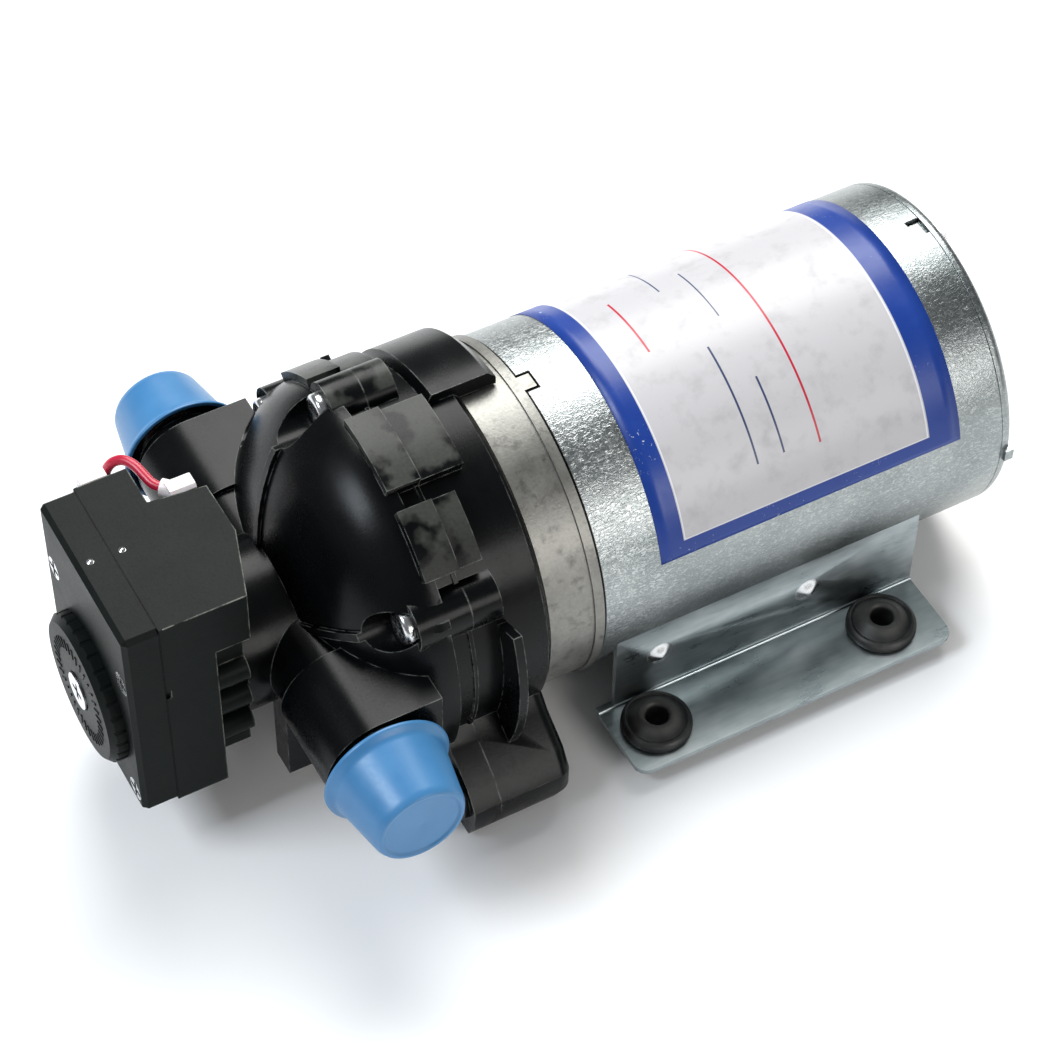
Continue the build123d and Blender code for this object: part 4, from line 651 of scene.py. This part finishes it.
drive_nylon = finish("drive_nylon", natural_nylon, Subsurface_Weight=0.1)
diaphragm_rubber = finish("diaphragm_rubber", black_sheet)
valve_rubber = finish("valve_rubber", brown_rubber)
coated(drive_nylon, "wobble_plate", "piston_discs")
coated(steel, "piston_inserts")
coated(screw_zinc, "piston_screws")
coated(diaphragm_rubber, "diaphragm", "outlet_seal")
coated(black_nylon, "valve_plate", "check_valve_guide")
coated(valve_rubber, "inlet_valves", "outlet_valve", "check_valve_poppet")
coated(spring_steel, "check_valve_spring")


# Front pump housing. The same black nylon makes the dome over the valves, the beam with the two threaded
# ports, the neck of the pressure switch and the feet under it. The dome is the glossiest part.
dressed("front_housing", "root", black_nylon, edge=0.35)
dressed("housing_screws", "root", screw_zinc, edge=0.15)


# Port caps. Soft blue covers of thin polythene are pushed over both threads for storage, like small hats
# with a flared rim. A raised thin rim runs round the end face.
port_axis = shaft + np.array([-65.6, 0.0, -1.8]) * mm
cap_wall = 1.1 * mm
cap_mouth = 56.2 * mm
cap_end = 74.8 * mm
brim_radius = 16.4 * mm
skirt_radius = 14.6 * mm
skirt_start = cap_mouth + 2.4 * mm
end_radius = 11.9 * mm
bore_radius = 10.7 * mm
end_rim_radii = (11.1 * mm, 10.3 * mm, 9.7 * mm)
end_face = cap_end - 0.5 * mm
cap_pinhole = 0.02 * mm
cap_turns = 96
# The cap's section: from the port's axis, from the shaft, and the cut of each corner. It runs up the
# outside, over the end and back down the inside.
cap_corners = [
    (brim_radius, cap_mouth, 0.35 * mm), (brim_radius, cap_mouth + 0.9 * mm, 0.4 * mm),
    (skirt_radius, skirt_start, 0.9 * mm), (end_radius, cap_end - 1.3 * mm, 0.8 * mm),
    (end_rim_radii[0], cap_end, 0.35 * mm), (end_rim_radii[1], cap_end, 0.3 * mm),
    (end_rim_radii[2], end_face, 0.3 * mm), (cap_pinhole, end_face, 0.005 * mm),
    (cap_pinhole, cap_end - cap_wall, 0.005 * mm), (bore_radius, cap_end - cap_wall, 0.4 * mm),
    (skirt_radius - cap_wall, skirt_start, 0.5 * mm), (brim_radius - cap_wall, cap_mouth, 0.3 * mm)]


def polythene(place):
    clouds = place.noise(0.010, 3.0)
    grain = place.noise(0.0009, 3.0)
    return {"Base_Color": clouds.blend((0.032, 0.155, 0.35), (0.060, 0.215, 0.43)),
            "Roughness": (clouds * 0.5 + grain * 0.5).rise(0.3, 0.7, 0.32, 0.44),
            "Normal": (clouds + grain * 0.2).relief(0.05 * mm)}


cap_blue = finish("cap_blue", polythene)
for side, out in (("near", -1.0), ("far", 1.0)):
    cap = turned(side + "_port_cap_shell", rounded(cap_corners), port_axis,
                 ((1.0, 0.0, 0.0), (0.0, 0.0, 1.0), (0.0, out, 0.0)), cap_turns, cap_blue)
    if side == "far":
        cap.data.flip_normals()
    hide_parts(side + "_port_cap")
    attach(cap, side + "_cap")


# Pressure switch. Its box and cover are moulded in a dull, finely grained black that looks dark green
# grey in the light. Their edges are painted paler in patches, for rubbed wear and for the highlight the
# rounded edges catch, and the seam between them is painted near black as shade. Four screws hold the
# cover and the box to the neck.
seam_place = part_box("switch_body")[0][0]
seam_shade_half = 0.18 * mm
seam_shade_fade = 0.32 * mm
pale_edges_from = seam_place + 1.0 * mm


def fine_grain(place):
    grain = place.cells(0.0005)
    rubbed = place.noise(0.010, 4.0)
    x = place.axes()[0]
    # painted shade: near black along the seam between the box and the cover
    seam_shade = (x - seam_place).size().rise(seam_shade_half, seam_shade_fade, 1.0, 0.0)
    # painted highlight, broken in patches like wear: paler rounded edges of the box past the seam
    edge_wear_and_highlight = place.edges(0.6 * mm) * place.noise(0.005, 4.0, 0.6).rise(0.38, 0.58) * (x > pale_edges_from)
    clean = rubbed.blend((0.0040, 0.0054, 0.0050), (0.0085, 0.0110, 0.0098))
    return {"Base_Color": edge_wear_and_highlight.blend(seam_shade.blend(clean, (0.0008, 0.0008, 0.0008)), (0.22, 0.23, 0.20)),
            "Roughness": (grain * 0.4 + rubbed * 0.6).rise(0.2, 0.8, 0.36, 0.50),
            "Normal": grain.relief(0.02 * mm)}


black_box = finish("black_box", fine_grain, Specular_IOR_Level=0.07)
dressed("switch_body", "root", black_box, edge=0.4)
dressed("switch_cover", "root", black_box, edge=0.4)
dressed("switch_screws", "root", screw_zinc, edge=0.12)
dressed("adjuster_cap", "root", black_box, edge=0.25)
dressed("adjusting_screw", "adjusting_screw", screw_zinc, edge=0.12)


tick_count = 36
tick_inner = 11.2 * mm
tick_outer = 14.4 * mm
tick_half = 0.42 * mm
tick_height = 0.28 * mm
adjuster_face = shaft + np.array([-119.7, 0.0, -3.2]) * mm
stud_places = (shaft + np.array([-111.8, 1.9, 39.0]) * mm, shaft + np.array([-103.8, 1.7, 39.0]) * mm)
stud_radius = 1.0 * mm
stud_height = 0.45 * mm


def knob_ticks():
    """Short raised bars in a ring on the adjuster's face. Each is a low block, chamfered at its top. A
    corner has its share of the way from the inner end to the outer, of half the width and of the height,
    and is turned round the adjuster's axis by the angle of its bar."""
    shares = np.array([(0, -1, 0), (1, -1, 0), (1, 1, 0), (0, 1, 0),
                       (0.06, -0.6, 1), (0.94, -0.6, 1), (0.94, 0.6, 1), (0.06, 0.6, 1)])
    angle = 2 * np.pi * (np.arange(tick_count) + 0.5) / tick_count
    out = tick_inner + shares[:, 0] * (tick_outer - tick_inner)
    side = shares[:, 1] * tick_half
    y = np.outer(np.cos(angle), out) - np.outer(np.sin(angle), side)
    z = np.outer(np.sin(angle), out) + np.outer(np.cos(angle), side)
    x = np.broadcast_to(sunk - shares[:, 2] * tick_height, y.shape)
    block = np.array([(0, 1, 2, 3), (4, 7, 6, 5), (0, 4, 5, 1), (1, 5, 6, 2), (2, 6, 7, 3), (3, 7, 4, 0)])
    faces = block + 8 * np.arange(tick_count)[:, None, None]
    points = adjuster_face + np.stack([x, y, z], axis=-1)
    return closed_up(surface("adjuster_ticks", points, faces, black_box, smooth=False))


ticks = knob_ticks()
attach(ticks, "root")
studs = domes("cover_studs", stud_places, (0.0, 0.0, 1.0), stud_radius, stud_height, screw_zinc)
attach(studs, "root")
coated(diaphragm_rubber, "switch_diaphragm")
coated(drive_nylon, "switch_plunger")
coated(spring_steel, "pressure_spring")
coated(brass, "spring_seat", "switch_terminals")
coated(black_box, "micro_switch")
coated(valve_rubber, "micro_button")


# Connectors. A milky sleeve covers each push on connector on the switch's blades, with the crimped end
# of its lead in a short barrel.
def milky(place):
    clouds = place.noise(0.003, 3.0)
    return {"Base_Color": clouds.blend((0.74, 0.66, 0.67), (0.86, 0.82, 0.81)),
            "Roughness": clouds.rise(0.2, 0.8, 0.22, 0.36)}


connector_white = finish("connector_white", milky, Subsurface_Weight=0.2, Subsurface_Scale=0.002)
dressed("spade_connectors", "root", connector_white, edge=0.25)


# Leads. Two thin red insulated wires run from the connectors down the far side of the head, under the far
# port and into the rubber grommet of the bell.
lead_diameter = 2.6 * mm
front_route = (
    (-104.07, 27.00, 32.34), (-106.00, 27.00, 30.04), (-106.8, 27.8, 24.2), (-105.9, 29.6, 14.2),
    (-102.8, 32.0, 2.5), (-98.4, 33.9, -7.5), (-90.5, 36.0, -16.5), (-78.5, 38.9, -22.6),
    (-64.0, 44.5, -24.0), (-49.5, 51.5, -20.5), (-36.5, 58.0, -15.0), (-24.5, 62.0, -9.5),
    (-14.8, 61.0, -6.5), (-9.05, 54.8, -5.388), (-9.05, 46.7, -5.388))
rear_route = (
    (-86.83, 17.83, 35.40), (-88.24, 19.24, 35.40), (-89.1, 22.4, 36.2), (-90.0, 26.0, 37.0),
    (-91.8, 29.3, 36.7), (-94.4, 31.1, 34.6), (-95.9, 32.2, 29.4), (-96.9, 33.6, 20.6),
    (-97.0, 35.6, 9.5), (-94.2, 38.6, -3.2), (-87.4, 41.8, -15.0), (-76.0, 45.5, -24.6),
    (-62.0, 49.5, -28.0), (-48.0, 54.8, -24.5), (-35.5, 60.5, -19.0), (-24.0, 65.0, -14.0),
    (-14.0, 63.6, -10.5), (-9.05, 55.6, -8.788), (-9.05, 46.7, -8.788))


def soft_insulation(place):
    clouds = place.noise(0.004, 3.0)
    return {"Base_Color": clouds.blend((0.36, 0.008, 0.030), (0.55, 0.020, 0.055)),
            "Roughness": clouds.rise(0.2, 0.8, 0.24, 0.38),
            "Normal": place.noise(0.0007).relief(0.01 * mm)}


lead_red = finish("lead_red", soft_insulation)
for node, route, length in (("front_lead", front_route, 0.1553), ("rear_lead", rear_route, 0.1707)):
    curve = bpy.data.curves.new(node + "_wire", "CURVE")
    curve.dimensions = "3D"
    curve.bevel_depth = lead_diameter / 2
    curve.bevel_resolution = 5
    curve.resolution_u = 10
    curve.use_fill_caps = True
    line = curve.splines.new("NURBS")
    points = shaft + np.array(route) * mm
    line.points.add(len(points) - 1)
    line.points.foreach_set("co", np.column_stack([points, np.ones(len(points))]).ravel())
    line.order_u = 3
    line.use_endpoint_u = True
    curve.materials.append(lead_red)
    wire = placed(node + "_wire", curve)
    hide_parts(node)
    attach(wire, "root")
dressed("lead_grommet", "root", black_rubber, edge=0.2)


# The stage: a wide pale floor in a dim pale room, a wide soft light above and behind, a small one at the
# left, and a weak one in front on the right. The camera stands where the photograph was taken from.
floor_reach = 6.0
middle = (0.0, 0.0, 0.05)
camera_place = (-0.25743, -0.45875, 0.66706)
camera_turn = np.radians(29.4477)
camera_dip = np.radians(50.1497)
camera_roll = np.radians(1.0577)
sensor_width = 36.0
focal_length = 111.148
nearest = 0.01
room_colour = (0.95, 0.97, 1.0, 1.0)
room_strength = 0.20


def floor_paint(place):
    clouds = place.noise(0.5, 2.0)
    return {"Base_Color": clouds.blend((0.95, 0.95, 0.95), (0.97, 0.97, 0.97))}


floor_corners = floor_reach * np.array([(-1.0, -1.0, 0.0), (1.0, -1.0, 0.0), (1.0, 1.0, 0.0),
                                        (-1.0, 1.0, 0.0)])
floor = surface("floor", floor_corners, np.arange(4), finish("pale_floor", floor_paint, Roughness=0.7),
                smooth=False)


def looking(place, ahead, roll=0.0):
    """The matrix of a lamp or camera at a place that looks ahead: its X axis is level and its Y axis
    upright before both are turned by the roll."""
    ahead = np.divide(ahead, np.linalg.norm(ahead))
    level = np.cross(ahead, (0.0, 0.0, 1.0))
    level = level / np.linalg.norm(level)
    upright = np.cross(level, ahead)
    right = np.cos(roll) * level + np.sin(roll) * upright
    upward = np.cos(roll) * upright - np.sin(roll) * level
    matrix = np.eye(4)
    matrix[:3] = np.column_stack([right, upward, -ahead, place])
    return Matrix(matrix.tolist())


def soft_light(name, place, width, height, watts, colour):
    """A rectangular area light at a place, facing the middle of the pump."""
    lamp = bpy.data.lights.new(name, "AREA")
    lamp.shape = "RECTANGLE"
    lamp.size = width
    lamp.size_y = height
    lamp.energy = watts
    lamp.color = colour
    placed(name, lamp).matrix_world = looking(place, np.subtract(middle, place))


soft_light("back_top", (0.36, 0.62, 0.98), width=0.95, height=0.7, watts=19.5, colour=(1.0, 1.0, 0.98))
soft_light("left_top", (-0.75, 0.10, 0.85), width=0.4, height=0.4, watts=8.0, colour=(0.86, 0.93, 1.0))
soft_light("near_fill", (0.35, -1.1, 0.5), width=0.6, height=0.5, watts=5.5, colour=(1.0, 0.98, 0.95))
world = bpy.data.worlds.new("pale_room")
world.use_nodes = True
world.node_tree.nodes["Background"].inputs["Color"].default_value = room_colour
world.node_tree.nodes["Background"].inputs["Strength"].default_value = room_strength
bpy.context.scene.world = world

lens = bpy.data.cameras.new("camera")
lens.sensor_width = sensor_width
lens.lens = focal_length
lens.clip_start = nearest
camera = placed("camera", lens)
ahead = (np.sin(camera_turn) * np.cos(camera_dip), np.cos(camera_turn) * np.cos(camera_dip),
         -np.sin(camera_dip))
camera.matrix_world = looking(camera_place, ahead, camera_roll)
bpy.context.scene.camera = camera
bpy.context.scene.view_settings.view_transform = "Standard"
